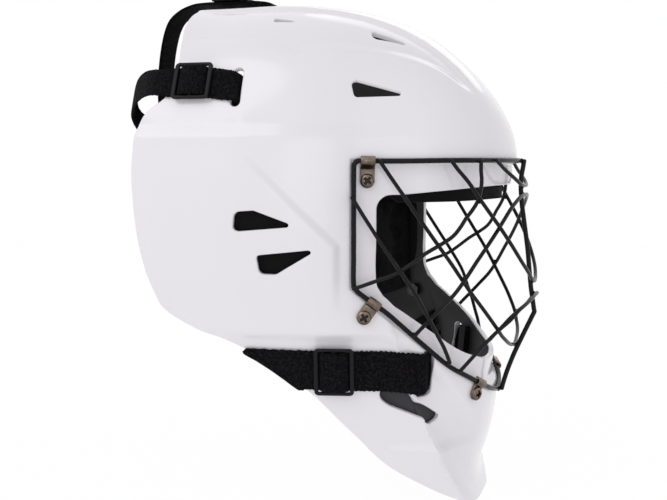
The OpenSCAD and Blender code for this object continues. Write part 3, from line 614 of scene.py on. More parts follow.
@dataclass
class Mesh:
    """Vertices and faces collected for one piece."""

    points: list[Array] = field(default_factory=list)
    faces: list[tuple[int, ...]] = field(default_factory=list)
    slots: list[int] = field(default_factory=list)
    places: list[Array] = field(default_factory=list)
    count: int = 0

    def add(self, points: Array, faces: Sequence[Sequence[int]], slot: int = 0,
            places: Array | None = None) -> None:
        """Adds a patch.

        Args:
            points: its vertices.
            faces: its faces, counted from its own first vertex.
            slot: the material slot of its faces.
            places: for each vertex, how far across and along its cloth it is, in millimetres.
        """
        self.points.append(np.asarray(points, float))
        self.places.append(np.zeros((len(points), 2)) if places is None else places)
        self.faces += [tuple(int(i) + self.count for i in f) for f in faces]
        self.slots += [slot] * len(faces)
        self.count += len(points)

    def make(self, name: str, finishes: Sequence["Finish"], normals: Array | None = None,
             crease: float = 40.0) -> bpy.types.Object:
        """Makes the Blender object.

        Args:
            name: the name of the piece.
            finishes: the finish of each material slot.
            normals: the shading direction of each vertex, where it is known.
            crease: the angle in degrees from which an edge looks sharp.

        Returns:
            The object, in the scene.
        """
        data = bpy.data.meshes.new(name)
        data.from_pydata((np.concatenate(self.points) * MM).tolist(), [], self.faces)
        data.polygons.foreach_set("material_index", self.slots)
        data.polygons.foreach_set("use_smooth", [True] * len(self.faces))
        places = np.concatenate(self.places) * MM
        if places.any():
            corner = np.empty(len(data.loops), dtype=np.int32)
            data.loops.foreach_get("vertex_index", corner)
            data.uv_layers.new(name="cloth").data.foreach_set("uv", places[corner].ravel())
        for finish in finishes:
            data.materials.append(finish.material())
        data.update()
        if normals is not None:
            data.normals_split_custom_set_from_vertices(normals.tolist())
        else:
            data.set_sharp_from_angle(angle=math.radians(crease))
        piece = bpy.data.objects.new(name, data)
        bpy.context.scene.collection.objects.link(piece)
        return piece


def loft(rings: Array, closed: bool = False, capped: bool = True) -> Patch:
    """Skin through closed rings of points.

    Args:
        rings: the rings, as an array of rings, points and coordinates.
        closed: whether the last ring joins the first.
        capped: whether open ends are closed with a flat face.

    Returns:
        The vertices and the faces.
    """
    n, m = rings.shape[:2]
    faces = [[i * m + j, (i + 1) % n * m + j, (i + 1) % n * m + (j + 1) % m, i * m + (j + 1) % m]
             for i in range(n if closed else n - 1) for j in range(m)]
    if capped and not closed:
        faces += [list(range(m)), [(n - 1) * m + j for j in range(m - 1, -1, -1)]]
    return rings.reshape(-1, 3), faces


def grid_faces(rows: int, columns: int, turned: bool = False) -> list[list[int]]:
    """Faces of a grid of points.

    Args:
        rows: how many rows it has.
        columns: how many points a row has.
        turned: whether the faces look the other way.

    Returns:
        The faces, with the points counted row by row.
    """
    quads = [[i * columns + j, (i + 1) * columns + j, (i + 1) * columns + j + 1, i * columns + j + 1]
             for i in range(rows - 1) for j in range(columns - 1)]
    return [q[::-1] for q in quads] if turned else quads


def grid_border(rows: int, columns: int) -> list[int]:
    """Points round a grid, in order."""
    last = (rows - 1) * columns
    return ([i * columns for i in range(rows)] + [last + j for j in range(1, columns)]
            + [i * columns + columns - 1 for i in range(rows - 2, -1, -1)] + list(range(columns - 2, 0, -1)))


def slab(face: Array, back: Array) -> Mesh:
    """Closed sheet between two grids of points.

    Args:
        face: the points of one side, by row and column.
        back: the points of the other side.

    Returns:
        The mesh.
    """
    rows, columns = face.shape[:2]
    mesh = Mesh()
    mesh.add(face.reshape(-1, 3), grid_faces(rows, columns))
    mesh.add(back.reshape(-1, 3), grid_faces(rows, columns, turned=True))
    border, under = grid_border(rows, columns), rows * columns
    mesh.faces += [(a, under + a, under + b, b) for a, b in zip(border, border[1:] + border[:1])]
    mesh.slots += [0] * len(border)
    return mesh


def tube_rings(line: Array, radius: float, sides: int, closed: bool = False) -> Array:
    """Rings of a round rod along a line, with rounded ends where it is open.

    Args:
        line: the centre line.
        radius: the radius of the rod.
        sides: how many sides it has.
        closed: whether the line returns to its start.

    Returns:
        The rings, ready for loft.
    """
    n = len(line)
    if closed:
        way = unit(np.roll(line, -1, axis=0) - np.roll(line, 1, axis=0))
    else:
        way = unit(np.gradient(line, axis=0))
    side = unit(np.cross(way[0], np.array([0.123, 0.456, 0.881])))
    sides_of = []
    for t in way:
        side = unit(side - t * (side @ t))
        sides_of.append(side)
    if closed:
        last = sides_of[-1] - way[0] * (sides_of[-1] @ way[0])
        twist = math.atan2(np.cross(sides_of[0], last) @ way[0], sides_of[0] @ last)
        sides_of = [s * math.cos(twist * i / n) - np.cross(t, s) * math.sin(twist * i / n)
                    for i, (s, t) in enumerate(zip(sides_of, way))]
    turn = np.linspace(0, 2 * np.pi, sides, endpoint=False)

    def ring(p: Array, t: Array, s: Array, r: float) -> Array:
        """One ring of radius r about p."""
        return p + r * (np.cos(turn)[:, None] * s + np.sin(turn)[:, None] * np.cross(t, s))

    def end(i: int, out: Array) -> list[Array]:
        """Rings of the rounded end at point i, from its tip."""
        return [ring(line[i] + out * radius * 0.7 * math.sin(a), way[i], sides_of[i], radius * math.cos(a))
                for a in (1.35, 0.9, 0.45)]

    rings = [ring(p, t, s, radius) for p, t, s in zip(line, way, sides_of)]
    return np.array(rings if closed else end(0, -way[0]) + rings + end(-1, way[-1])[::-1])


def ribbon(rows: Array, thick: float, steps: int,
           edge_wave: float = 0.0) -> tuple[Array, list[list[int]], Array]:
    """Woven band with rounded edges along rows of points.

    Args:
        rows: points across the band, one row after the other along it.
        thick: the thickness of the band.
        steps: how many parts lie between two rows.
        edge_wave: how far the edge threads stand out and in.

    Returns:
        The vertices, the faces, and how far across and along the cloth each vertex is.
    """
    fine = glide(rows.reshape(len(rows), -1), steps).reshape(-1, rows.shape[1], 3)
    share = np.array([-1, -0.97, -0.9, -0.75, -0.5, -0.25, 0, 0.25, 0.5, 0.75, 0.9, 0.97, 1])
    at = (share + 1) / 2 * (rows.shape[1] - 1)
    i = np.clip(at.astype(int), 0, rows.shape[1] - 2)
    part = (at - i)[None, :, None]
    middle = fine[:, i] * (1 - part) + fine[:, i + 1] * part
    along = arc_length(middle[:, len(share) // 2])
    if edge_wave:
        way = unit(middle[:, -1] - middle[:, 0])
        for edge, sign in ((0, -1), (-1, 1)):
            slow = 0.7 * np.sin(along * 2 * np.pi / 4.7) * np.sin(along / 3.1)
            wave = np.sin(along * 2 * np.pi / 2.9 + sign) + slow
            middle[:, edge] += way * (sign * edge_wave * wave)[:, None]
    ahead = np.gradient(middle, axis=0)
    beside = np.gradient(middle, axis=1)
    out = unit(np.cross(ahead, beside))
    half = thick / 2 * np.sqrt(np.maximum(1 - np.abs(share) ** 14, 0))
    top = middle + out * half[None, :, None]
    under = middle - out * half[None, :, None]
    rings = np.concatenate([top, under[:, -2:0:-1]], axis=1)
    width = np.linalg.norm(middle[0, -1] - middle[0, 0])
    u = np.concatenate([share, share[-2:0:-1]]) * width / 2
    places = np.stack(np.broadcast_arrays(u[None, :], along[:, None]), axis=-1).reshape(-1, 2)
    points, faces = loft(rings)
    return points, faces, places


# Finishes

class Nodes:
    """Bench for the nodes of one material."""

    def __init__(self, name: str, owner: bpy.types.World | None = None) -> None:
        """Starts an empty tree.

        Args:
            name: the name of a new material.
            owner: what the tree belongs to instead, if that is there.
        """
        self.material = owner or bpy.data.materials.new(name)
        self.material.use_nodes = True
        self.tree = self.material.node_tree
        self.tree.nodes.clear()

    def add(self, kind: str, **inputs: object) -> bpy.types.Node:
        """Adds a node.

        Args:
            kind: the type of the node, without its ShaderNode prefix.
            **inputs: values or output sockets for its inputs, by socket name with _ for a space, and
                attributes of the node itself in lower case.

        Returns:
            The node.
        """
        node = self.tree.nodes.new("ShaderNode" + kind)
        for name, value in inputs.items():
            if name.islower() and hasattr(node, name):
                setattr(node, name, value)
                continue
            key = int(name[1:]) if name[0] == "i" and name[1:].isdigit() else name.replace("_", " ")
            if isinstance(value, bpy.types.NodeSocket):
                self.tree.links.new(value, node.inputs[key])
            else:
                node.inputs[key].default_value = value
        return node

    def maths(self, what: str, a: object, b: object = 0.0, c: object = 0.0) -> bpy.types.NodeSocket:
        """Result of a Math node."""
        return self.add("Math", operation=what, i0=a, i1=b, i2=c).outputs[0]

    def spot(self) -> bpy.types.NodeSocket:
        """Place on the piece, in metres."""
        return self.add("TexCoord").outputs["Object"]

    def noise(self, size: float, detail: float = 2.0, rough: float = 0.5,
              where: object = None) -> bpy.types.NodeSocket:
        """Noise whose patches are about size metres wide."""
        return self.add("TexNoise", Vector=where or self.spot(), Scale=1 / size, Detail=detail,
                        Roughness=rough).outputs[0]

    def between(self, t: object, low: float, high: float, first: float = 0.0,
                last: float = 1.0) -> bpy.types.NodeSocket:
        """Number that goes from low to high as t goes from first to last."""
        return self.add("MapRange", i0=t, i1=first, i2=last, i3=low, i4=high).outputs[0]

    def blend(self, t: object, a: Sequence[float], b: Sequence[float]) -> bpy.types.NodeSocket:
        """Colour between two others.

        Args:
            t: the share of the second one.
            a: the first colour, as three numbers or a socket.
            b: the second colour.

        Returns:
            The socket of the colour.
        """
        node = self.add("Mix", data_type="RGBA", i0=t)
        for socket, value in ((node.inputs[6], a), (node.inputs[7], b)):
            if isinstance(value, bpy.types.NodeSocket):
                self.tree.links.new(value, socket)
            else:
                socket.default_value = (*value, 1)
        return node.outputs[2]

    def bump(self, height: object, depth: float, strength: float = 1.0,
             below: object = None) -> bpy.types.NodeSocket:
        """Bumps of a surface.

        Args:
            height: their height, from 0 to 1.
            depth: how many metres the height of 1 stands for.
            strength: the share of them that is used.
            below: other bumps under these.

        Returns:
            The socket of the normal.
        """
        node = self.add("Bump", Height=height, Distance=depth, Strength=strength)
        if below is not None:
            self.tree.links.new(below, node.inputs["Normal"])
        return node.outputs[0]

    def finish(self, **inputs: object) -> bpy.types.Material:
        """Ends the tree in a Principled shader with these inputs."""
        self.add("OutputMaterial", Surface=self.add("BsdfPrincipled", **inputs).outputs[0])
        return self.material


@dataclass(frozen=True)
class Finish:
    """What all finishes share: a name and the colour of the record."""

    name: str
    slot: str
    colour: tuple[float, float, float]

    def material(self) -> bpy.types.Material:
        """The material, made once."""
        return bpy.data.materials.get(self.name) or self.build(Nodes(self.name))

    def build(self, n: Nodes) -> bpy.types.Material:
        """Builds the nodes on the bench n."""
        raise NotImplementedError


def shade(colour: Sequence[float], by: float) -> tuple[float, float, float]:
    """A colour made lighter or darker."""
    return tuple(min(1.0, c * by) for c in colour)


@dataclass(frozen=True)
class GlossWhite(Finish):
    """Clear-coated white of the shell, with orange peel, faint mottling and fine rub marks."""

    def build(self, n: Nodes) -> bpy.types.Material:
        """Builds the nodes.

        Args:
            n: the bench of this material.

        Returns:
            The material.
        """
        mottle = n.between(n.noise(0.05, 3), 0.25, 0.75)
        colour = n.blend(mottle, shade(self.colour, 0.985), shade(self.colour, 1.015))
        rub = n.between(n.noise(0.012, 6, 0.7), 0.2, 0.3, 0.56, 0.74)
        peel = n.bump(n.noise(0.004, 1), 0.00002, 0.3)
        return n.finish(Base_Color=colour, Roughness=rub, Normal=peel, IOR=1.5,
                        Coat_Weight=0.5, Coat_Roughness=0.05)


@dataclass(frozen=True)
class InsideGrey(Finish):
    """Bare inner face of the moulding, matt, slightly mottled, and painted paler lower down towards the chin
    as painted light.
    """

    # chin is how many times paler the lowest inside is painted; that painted light grows between the two
    # heights below, in metres.
    chin: float = 2.6
    spray_from: float = -0.045
    spray_to: float = -0.105

    def build(self, n: Nodes) -> bpy.types.Material:
        """Builds the nodes.

        Args:
            n: the bench of this material.

        Returns:
            The material.
        """
        height = n.add("SeparateXYZ", i0=n.spot()).outputs[2]
        # Painted light: the inside is painted paler lower down, towards the chin.
        painted_chin_light = n.between(height, 0.0, 1.0, self.spray_from, self.spray_to)
        mottle = n.between(n.noise(0.02, 4), -0.1, 0.1)
        colour = n.blend(n.maths("ADD", painted_chin_light, mottle), self.colour, shade(self.colour, self.chin))
        grain = n.bump(n.noise(0.0009, 3, 0.6), 0.00006, 0.5)
        rough = n.between(n.noise(0.006, 3), 0.5, 0.68)
        return n.finish(Base_Color=colour, Roughness=rough, Normal=grain, Specular_IOR_Level=0.25)


@dataclass(frozen=True)
class PowderBlack(Finish):
    """Semi-gloss black coating of the cage, thinner and paler where it rubs."""

    def build(self, n: Nodes) -> bpy.types.Material:
        """Builds the nodes.

        Args:
            n: the bench of this material.

        Returns:
            The material.
        """
        worn = n.between(n.noise(0.004, 5, 0.65), 0.0, 1.0, 0.6, 0.78)
        colour = n.blend(worn, self.colour, shade(self.colour, 2.2))
        rough = n.between(n.noise(0.003, 3), 0.2, 0.34)
        skin = n.bump(n.noise(0.0007, 2), 0.00003, 0.4)
        return n.finish(Base_Color=colour, Roughness=rough, Normal=skin, Specular_IOR_Level=0.17)


@dataclass(frozen=True)
class BronzePlate(Finish):
    """Dark bronze plating of clips and screws, with fine brushing and bright wear, painted lighter where it
    faces up and darker where it faces down, as painted light and shade.
    """

    def build(self, n: Nodes) -> bpy.types.Material:
        """Builds the nodes.

        Args:
            n: the bench of this material.

        Returns:
            The material.
        """
        spot = n.add("Mapping", Vector=n.spot(), Scale=(1, 6, 1)).outputs[0]
        brush = n.noise(0.0012, 4, 0.6, spot)
        worn = n.between(n.noise(0.0025, 4, 0.6), 0.0, 1.0, 0.5, 0.75)
        # Painted light and shade: the colour runs from a darker copy of the bronze on faces that look down to
        # a lighter copy on faces that look up.
        facing = n.add("SeparateXYZ", i0=n.add("NewGeometry").outputs["Normal"]).outputs[2]
        painted_light_share = n.between(facing, 0.0, 1.0, -0.7, 0.9)
        plate = n.blend(painted_light_share, shade(self.colour, 0.55), shade(self.colour, 1.6))
        colour = n.blend(n.maths("MULTIPLY", worn, 0.6), plate, shade(self.colour, 1.9))
        rough = n.between(brush, 0.16, 0.32)
        return n.finish(Base_Color=colour, Metallic=1.0, Roughness=rough, Normal=n.bump(brush, 0.00002, 0.35))


@dataclass(frozen=True)
class ZincSteel(Finish):
    """Zinc plating of the nuts, with a faint yellow bloom."""

    def build(self, n: Nodes) -> bpy.types.Material:
        """Builds the nodes.

        Args:
            n: the bench of this material.

        Returns:
            The material.
        """
        bloom = n.between(n.noise(0.003, 3), 0.2, 0.8)
        red, green, blue = self.colour
        colour = n.blend(bloom, self.colour, (red, green * 0.97, blue * 0.86))
        rough = n.between(n.noise(0.001, 3), 0.28, 0.45)
        return n.finish(Base_Color=colour, Metallic=1.0, Roughness=rough, Normal=n.bump(bloom, 0.00002, 0.3))


@dataclass(frozen=True)
class KnitFoam(Finish):
    """Black knit bonded to foam: small loops, soft unevenness and a dull sheen."""

    loop: float = 1 / 750

    def build(self, n: Nodes) -> bpy.types.Material:
        """Builds the nodes.

        Args:
            n: the bench of this material.

        Returns:
            The material.
        """
        loops = n.add("TexVoronoi", Vector=n.spot(), Scale=1 / self.loop, Randomness=0.35).outputs["Distance"]
        soft = n.noise(0.012, 3)
        fluff = n.noise(0.0005, 3, 0.7)
        colour = n.blend(n.between(fluff, 0, 1), shade(self.colour, 0.7), shade(self.colour, 1.6))
        knit = n.bump(n.maths("MULTIPLY_ADD", loops, -1.0, fluff), 0.00022, 0.7, n.bump(soft, 0.0006, 0.5))
        return n.finish(Base_Color=colour, Roughness=n.between(soft, 0.8, 0.95), Normal=knit,
                        Specular_IOR_Level=0.12, Sheen_Weight=0.02, Sheen_Roughness=0.5)


@dataclass(frozen=True)
class Webbing(Finish):
    """Heavy black elastic: staggered knots of thread over the band, with stray fibres, the knot tops painted
    lighter as painted highlight and the grooves between them darker as painted shade.
    """

    across: float = 0.0017
    along: float = 0.0013

    def build(self, n: Nodes) -> bpy.types.Material:
        """Builds the nodes.

        Args:
            n: the bench of this material.

        Returns:
            The material.
        """
        cloth = n.add("UVMap", uv_map="cloth").outputs[0]
        spot = n.add("Mapping", Vector=cloth, Scale=(1 / self.across, 1 / self.along, 1)).outputs[0]
        knot = n.add("TexVoronoi", Vector=spot, Scale=1.0, Randomness=0.7).outputs["Distance"]
        round_knot = n.maths("SUBTRACT", 1.0, n.maths("MULTIPLY", knot, knot))
        fibre = n.noise(0.0004, 4, 0.75)
        slack = n.noise(0.006, 2)
        tuft = n.between(n.noise(0.0016, 2, 0.6), 0.25, 1.0, 0.42, 0.68)
        height = n.maths("MULTIPLY_ADD", fibre, 0.5, round_knot)
        deep = n.bump(height, 0.0008, 1.0, n.bump(slack, 0.0008, 0.4))
        # Painted highlight and shade: knot tops, patchy with fibres and tufts, are painted lighter and the
        # grooves between knots darker.
        painted_light_share = n.maths("MULTIPLY", n.maths("MULTIPLY", round_knot, fibre), tuft)
        colour = n.blend(painted_light_share, shade(self.colour, 0.15), shade(self.colour, 9.0))
        return n.finish(Base_Color=colour, Roughness=n.between(fibre, 0.75, 1.0), Normal=deep,
                        Specular_IOR_Level=0.06, Sheen_Weight=0.006, Sheen_Roughness=0.4)


@dataclass(frozen=True)
class MouldedBlack(Finish):
    """Injection-moulded black plastic with a fine spark-eroded grain."""

    def build(self, n: Nodes) -> bpy.types.Material:
        """Builds the nodes.

        Args:
            n: the bench of this material.

        Returns:
            The material.
        """
        grain = n.noise(0.0005, 3, 0.6)
        mottle = n.between(n.noise(0.008, 3), 0.2, 0.8)
        colour = n.blend(mottle, shade(self.colour, 0.85), shade(self.colour, 1.2))
        rough = n.between(n.noise(0.002, 4), 0.36, 0.54)
        return n.finish(Base_Color=colour, Roughness=rough, Normal=n.bump(grain, 0.00004, 0.5),
                        Specular_IOR_Level=0.17)


WHITE = GlossWhite("gloss_white", "shell_white", (0.80, 0.777, 0.825))
# Both greys are painted paler lower down, towards the chin, as painted light.
INSIDE = InsideGrey("inside_grey", "shell_white", (0.026, 0.025, 0.027))
LINING = InsideGrey("lining_grey", "pad_black", (0.02, 0.019, 0.021))
CAGE = PowderBlack("powder_black", "cage_black", (0.004, 0.004, 0.005))
# The bronze finishes are painted lighter facing up and darker facing down, as painted light and shade.
BRONZE = BronzePlate("bronze_plate", "clip_bronze", (0.155, 0.12, 0.10))
# Painted shade: a dark copy of the bronze for the cross recesses of the screws.
RECESS_SHADE = BronzePlate("oxide_recess", "clip_bronze", (0.03, 0.025, 0.022))
ZINC = ZincSteel("zinc_steel", "nut_steel", (0.05, 0.05, 0.05))
KNIT = KnitFoam("knit_foam", "pad_black", (0.004, 0.004, 0.0045))
# The webbing's knot tops are painted lighter, as painted highlight.
ELASTIC = Webbing("webbing", "strap_black", (0.0036, 0.0032, 0.0038))
MOULDED = MouldedBlack("moulded_black", "slider_black", (0.006, 0.006, 0.0065))


def dress(piece: bpy.types.Object, finish: Finish, body: Body, *nodes: str) -> bpy.types.Object:
    """Ties a finished piece to the frame.

    Args:
        piece: the piece, in place.
        finish: its main finish; not used.
        body: the group that it moves with.
        *nodes: the CAD nodes that it stands for.

    Returns:
        The piece.
    """
    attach(piece, body.value)
    if nodes:
        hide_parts(*nodes)
    LOG.info("%s rides on %s, %d faces", piece.name, body.value, len(piece.data.polygons))
    return piece


# The shell

@dataclass
class Shell:
    """The one-piece moulded shell with its port, vents and strap slots."""

    form: Form
    edge: float = 1.1
    coarse: float = 6.0
    fine: float = 1.35
    port_back: float = 51.0
    port_top: float = 40.0
    port_lip: float = 71.0
    port_corner: float = 9.0
    strap_width: float = 20.0
    wide_strap_width: float = 26.0
    slot_width: float = 6.0
    upper_slot: tuple[float, float] = (-35.0, 107.0)
    jaw_slot: tuple[float, float] = (80.3, -72.0)
    crown_slot: float = -41.0
    dome_from: float = 60.0
    near_by: float = 20.0
    sheet_half: float = 8.75
    first_cell: float = 0.5
    flat_enough: float = 0.16
    snap: float = 0.32
    shortest_loop: int = 8
    rim_line: Array = field(init=False)
    openings: list[tuple[Array, bool, float]] = field(init=False)

    def __post_init__(self) -> None:
        """Works out the rim and the openings."""
        self.rim_line, self.openings = self.rim(), self.cuts()

    def rim(self) -> Array:
        """Side view of the rear and lower rim.

        Returns:
            The corners of an outline that is closed round the front.
        """
        r, c, d = self.form.rear, self.form.chin, self.form.chin_drop
        low = glide([[-86, 164], [-84, 154], [-77, 124], [-80, 104], [-95, 91], [-r - 0.5, 74], [-r, 48],
                     [4 - r, 10], [12 - r, -20], [-80, -34], [-50, -50], [-22, -64], [7, -86], [28, -108],
                     [52, -132], [80, -150], [c - 10, 6 - d], [c + 2, -2 - d]], 6)
        return np.concatenate([low, [[170, -2 - d], [170, 230], [-86, 230]]])

    def cuts(self) -> list[tuple[Array, bool, float]]:
        """Openings of the moulding.

        Returns:
            For each its outline, whether that is seen from above, and how far the cut stands outside it.
        """
        c, back, top, lip = self.form.chin, self.port_back, self.port_top, self.port_lip
        port = np.array([[back, top], [back, -16], [62, -29.5], [c - 3, -66], [c + 12, -6 - lip],
                         [170, -20 - lip], [170, top + 10], [68, top + 0.5]], float)
        cuts = [(drawn_in(port, self.port_corner), False, self.port_corner)]
        upper_ear = [[-28.5, 26.5, 4], [-30, 21.5, 3], [-21, 27.5, 3.5], [-1.2, 22.2, 1.4]]
        lower_ear = [[-17, 2, 2], [-14.5, -4, 3.6], [-8.5, -4.4, 3.4], [11.3, 5.4, 1.4]]
        temple = [[37, 108.5, 2.6], [38.3, 103.2, 2.4], [62, 103, 1.2]]
        jaw = [[58, -86, 6], [60.5, -88.5, 5.5], [84, -101.5, 2.6], [70, -87, 3]]
        side, half = [upper_ear, lower_ear, temple, jaw], self.slot_width / 2
        for (x, z), width, lean in ((self.upper_slot, self.strap_width, 0),
                                    (self.jaw_slot, self.wide_strap_width, 1)):
            side.append([[x + s * lean, z + s * (width / 2 - 1), half] for s in (-1, 1)])
        above = [vent for s in (-1, 1) for vent in ([[-22, 58 * s, 2.4], [-12, 58 * s, 1.4]],
                                                    [[43, 51 * s, 3], [60, 46 * s, 1.2]])]
        above.append([[self.crown_slot, s * self.wide_strap_width / 2, half] for s in (-1, 1)])
        cuts += [(around_circles(circles), False, 0.0) for circles in side]
        return cuts + [(around_circles(circles), True, 0.0) for circles in above]

    def room(self, p: Array) -> Array:
        """How far inside the moulding some points lie.

        Args:
            p: the points.

        Returns:
            One distance for each, below 0 in an opening or past the rim.
        """
        low, high = p[:, [0, 2]], p[:, [0, 1]]
        best = -outline_distance(low, self.rim_line)
        for outline, above, grow in self.openings:
            margin = grow + self.near_by
            flat = high if above else low
            near = ((flat > outline.min(axis=0) - margin) & (flat < outline.max(axis=0) + margin)).all(axis=1)
            if above:
                near &= p[:, 2] > self.dome_from
            if near.any():
                best[near] = np.minimum(best[near], outline_distance(flat[near], outline) - grow)
        return best - self.edge

    def scatter(self) -> Array:
        """Places in the plane for the vertices.

        Returns:
            Places that lie close together at edges and creases, and wide apart elsewhere.
        """
        side = self.first_cell
        ticks = np.arange(-self.sheet_half, self.sheet_half + 0.01, side)
        cells = np.stack(np.meshgrid(ticks, ticks), axis=-1).reshape(-1, 2)
        corners = np.array([[a, b] for a in (-1, 0, 1) for b in (-1, 0, 1)], float)
        kept = []
        while len(cells):
            spots = cells[:, None, :] + corners * side / 2
            size = side * self.form.scale(cells)
            p = self.form.point(spots.reshape(-1, 2))
            relief = self.form.relief(p).reshape(-1, 9)
            room = self.room(p).reshape(-1, 9)
            gone = room.max(axis=1) < -(4 + 0.7 * size)
            vary = np.ptp(relief, axis=1)
            edge = np.abs(room).min(axis=1) < 0.6 * size
            split = (size > self.coarse) | ((size > self.fine) & (edge | (vary > self.flat_enough)))
            kept.append(spots[~gone & ~split][:, [0, 2, 6, 8]].reshape(-1, 2))
            parts = cells[~gone & split][:, None, :] + corners[[0, 2, 6, 8]] * side / 4
            cells, side = parts.reshape(-1, 2), side / 2
        spots = np.concatenate(kept)
        return spots[np.unique(np.round(spots * 1e5).astype(np.int64), axis=0, return_index=True)[1]]

    def crossing(self, a: Array, b: Array, fa: Array, fb: Array) -> Array:
        """Places where the edge of the moulding runs.

        Args:
            a: places on one side of it.
            b: the places on its other side.
            fa: how far inside the moulding a is.
            fb: how far inside b is.

        Returns:
            One place between each a and b.
        """
        for _ in range(3):
            middle = a + (b - a) * (fa / (fa - fb))[:, None]
            f = self.room(self.form.point(middle))
            same = f * fa > 0
            a, fa = np.where(same[:, None], middle, a), np.where(same, f, fa)
            b, fb = np.where(same[:, None], b, middle), np.where(same, fb, f)
        return a + (b - a) * (fa / np.where(fa == fb, 1, fa - fb))[:, None]

    def trimmed(self, uv: Array, faces: Array) -> tuple[Array, Array]:
        """Cuts a triangle mesh in the plane along the edge of the moulding.

        Args:
            uv: its vertices.
            faces: its triangles.

        Returns:
            The vertices and triangles that lie in the moulding.
        """
        uv, room = uv.copy(), self.room(self.form.point(uv))
        pairs = np.concatenate([faces[:, [0, 1]], faces[:, [1, 2]], faces[:, [2, 0]]])
        edges = np.unique(np.sort(pairs, axis=1), axis=0)

        def cut() -> tuple[Array, Array, Array]:
            """Edges that cross the rim.

            Returns:
                Their ends, the places where they cross it, and at which share of their length.
            """
            e = edges[room[edges[:, 0]] * room[edges[:, 1]] < 0]
            spot = self.crossing(uv[e[:, 0]], uv[e[:, 1]], room[e[:, 0]], room[e[:, 1]])
            long = np.linalg.norm(uv[e[:, 1]] - uv[e[:, 0]], axis=1)
            return e, spot, np.linalg.norm(spot - uv[e[:, 0]], axis=1) / long

        e, spot, share = cut()
        end = np.where(share < 0.5, e[:, 0], e[:, 1])
        near = np.minimum(share, 1 - share)
        for i in np.argsort(-near):
            if near[i] < self.snap:
                uv[end[i]] = spot[i]
                room[end[i]] = 0
        e, spot, share = cut()
        fresh = {tuple(pair): len(uv) + i for i, pair in enumerate(e.tolist())}
        uv, room = np.concatenate([uv, spot]), np.concatenate([room, np.zeros(len(spot))])
        sign = np.sign(room).astype(int)
        kinds = sign[faces]
        whole = faces[(kinds >= 0).all(axis=1) & (kinds > 0).any(axis=1)].tolist()
        flat = faces[(kinds == 0).all(axis=1)]
        if len(flat):
            inside = self.room(self.form.point(uv[flat].mean(axis=1))) > 0
            whole += flat[inside].tolist()
        for tri in faces[(kinds > 0).any(axis=1) & (kinds < 0).any(axis=1)].tolist():
            while sign[tri[0]] <= 0 or sign[tri[2]] > 0:
                tri = tri[1:] + tri[:1]
            ring = []
            for i, j in zip(tri, tri[1:] + tri[:1]):
                ring += [i] if sign[i] >= 0 else []
                ring += [fresh[(min(i, j), max(i, j))]] if sign[i] * sign[j] < 0 else []
            whole += [[ring[0], i, j] for i, j in zip(ring[1:], ring[2:])]
        used, tris = np.unique(np.array(whole), return_inverse=True)
        return uv[used], tris.reshape(-1, 3)

    def loops(self, tris: Array) -> list[list[int]]:
        """Edge loops of a triangle mesh.

        Args:
            tris: its triangles.

        Returns:
            The vertices of each loop, in order, with the moulding on its left.
        """
        half = {(int(a), int(b)) for t in tris for a, b in ((t[0], t[1]), (t[1], t[2]), (t[2], t[0]))}
        after: dict[int, int] = {a: b for a, b in half if (b, a) not in half}
        found = []
        while after:
            start, here = next(iter(after.items()))
            after.pop(start)
            loop = [start]
            while here != start and here in after:
                loop.append(here)
                here = after.pop(here)
            found.append(loop)
        return found

    def edge_rows(self, skin: Array, lining: Array, out: Array) -> tuple[list[Array], list[Array]]:
        """Rows of points of a rounded edge, from the skin to the inner face.

        Args:
            skin: the points of the skin along the edge, in order.
            lining: the points of the inner face behind them.
            out: the directions out of the skin there.

        Returns:
            The rows, and the shading directions of their points.
        """
        along = unit(np.roll(skin, -1, axis=0) - np.roll(skin, 1, axis=0))
        away = unit(np.cross(along, out))
        deep = np.linalg.norm(lining - skin, axis=1)[:, None]
        down = (lining - skin) / deep
        rows, ways = [], []
        for turn in (0.4, 0.8, 1.2, math.pi / 2):
            s, c = math.sin(turn), math.cos(turn)
            rows.append(skin + self.edge * (away * s + down * (1 - c)))
            ways.append(unit(away * s - down * c))
        for turn in (0.0, 0.5, 1.0):
            s, c = math.sin(turn), math.cos(turn)
            rows.append(skin + away * self.edge * c + down * (deep - self.edge + self.edge * s))
            ways.append(unit(away * c + down * s))
        return rows, ways

    def build(self) -> None:
        """Makes the shell."""
        flat = delaunay_2d_cdt([Vector(s) for s in self.scatter().tolist()], [], [], 0, 1e-7, False)
        uv = np.array([tuple(v) for v in flat[0]])
        uv, tris = self.trimmed(uv, np.array([f for f in flat[2] if len(f) == 3]))
        skin, lining = self.form.skin_and_lining(uv)
        out = self.form.across(uv, self.form.skin, 0.35)
        normals = [out, -self.form.across(uv, lambda q: self.form.skin_and_lining(q)[1], 0.8)]
        mesh = Mesh()
        mesh.add(skin, tris)
        mesh.add(lining, tris[:, ::-1], slot=1)
        for loop in self.loops(tris):
            if len(loop) < self.shortest_loop:
                continue
            i = np.array(loop)
            rows, ways = self.edge_rows(skin[i], lining[i], out[i])
            m, start = len(i), mesh.count
            after = np.roll(np.arange(m), -1)
            tiers = [i] + [start + k * m + np.arange(m) for k in range(len(rows))] + [i + len(uv)]
            mesh.add(np.concatenate(rows), [])
            normals.append(np.concatenate(ways))
            for k, (a, b) in enumerate(zip(tiers, tiers[1:])):
                mesh.faces += [tuple(map(int, q)) for q in zip(a[after], a, b, b[after])]
                mesh.slots += [1 if k == len(tiers) - 2 else 0] * m
        piece = mesh.make("shell_moulding", [WHITE, INSIDE], np.concatenate(normals))
        dress(piece, WHITE, Body.HELMET, "shell")


# The cage

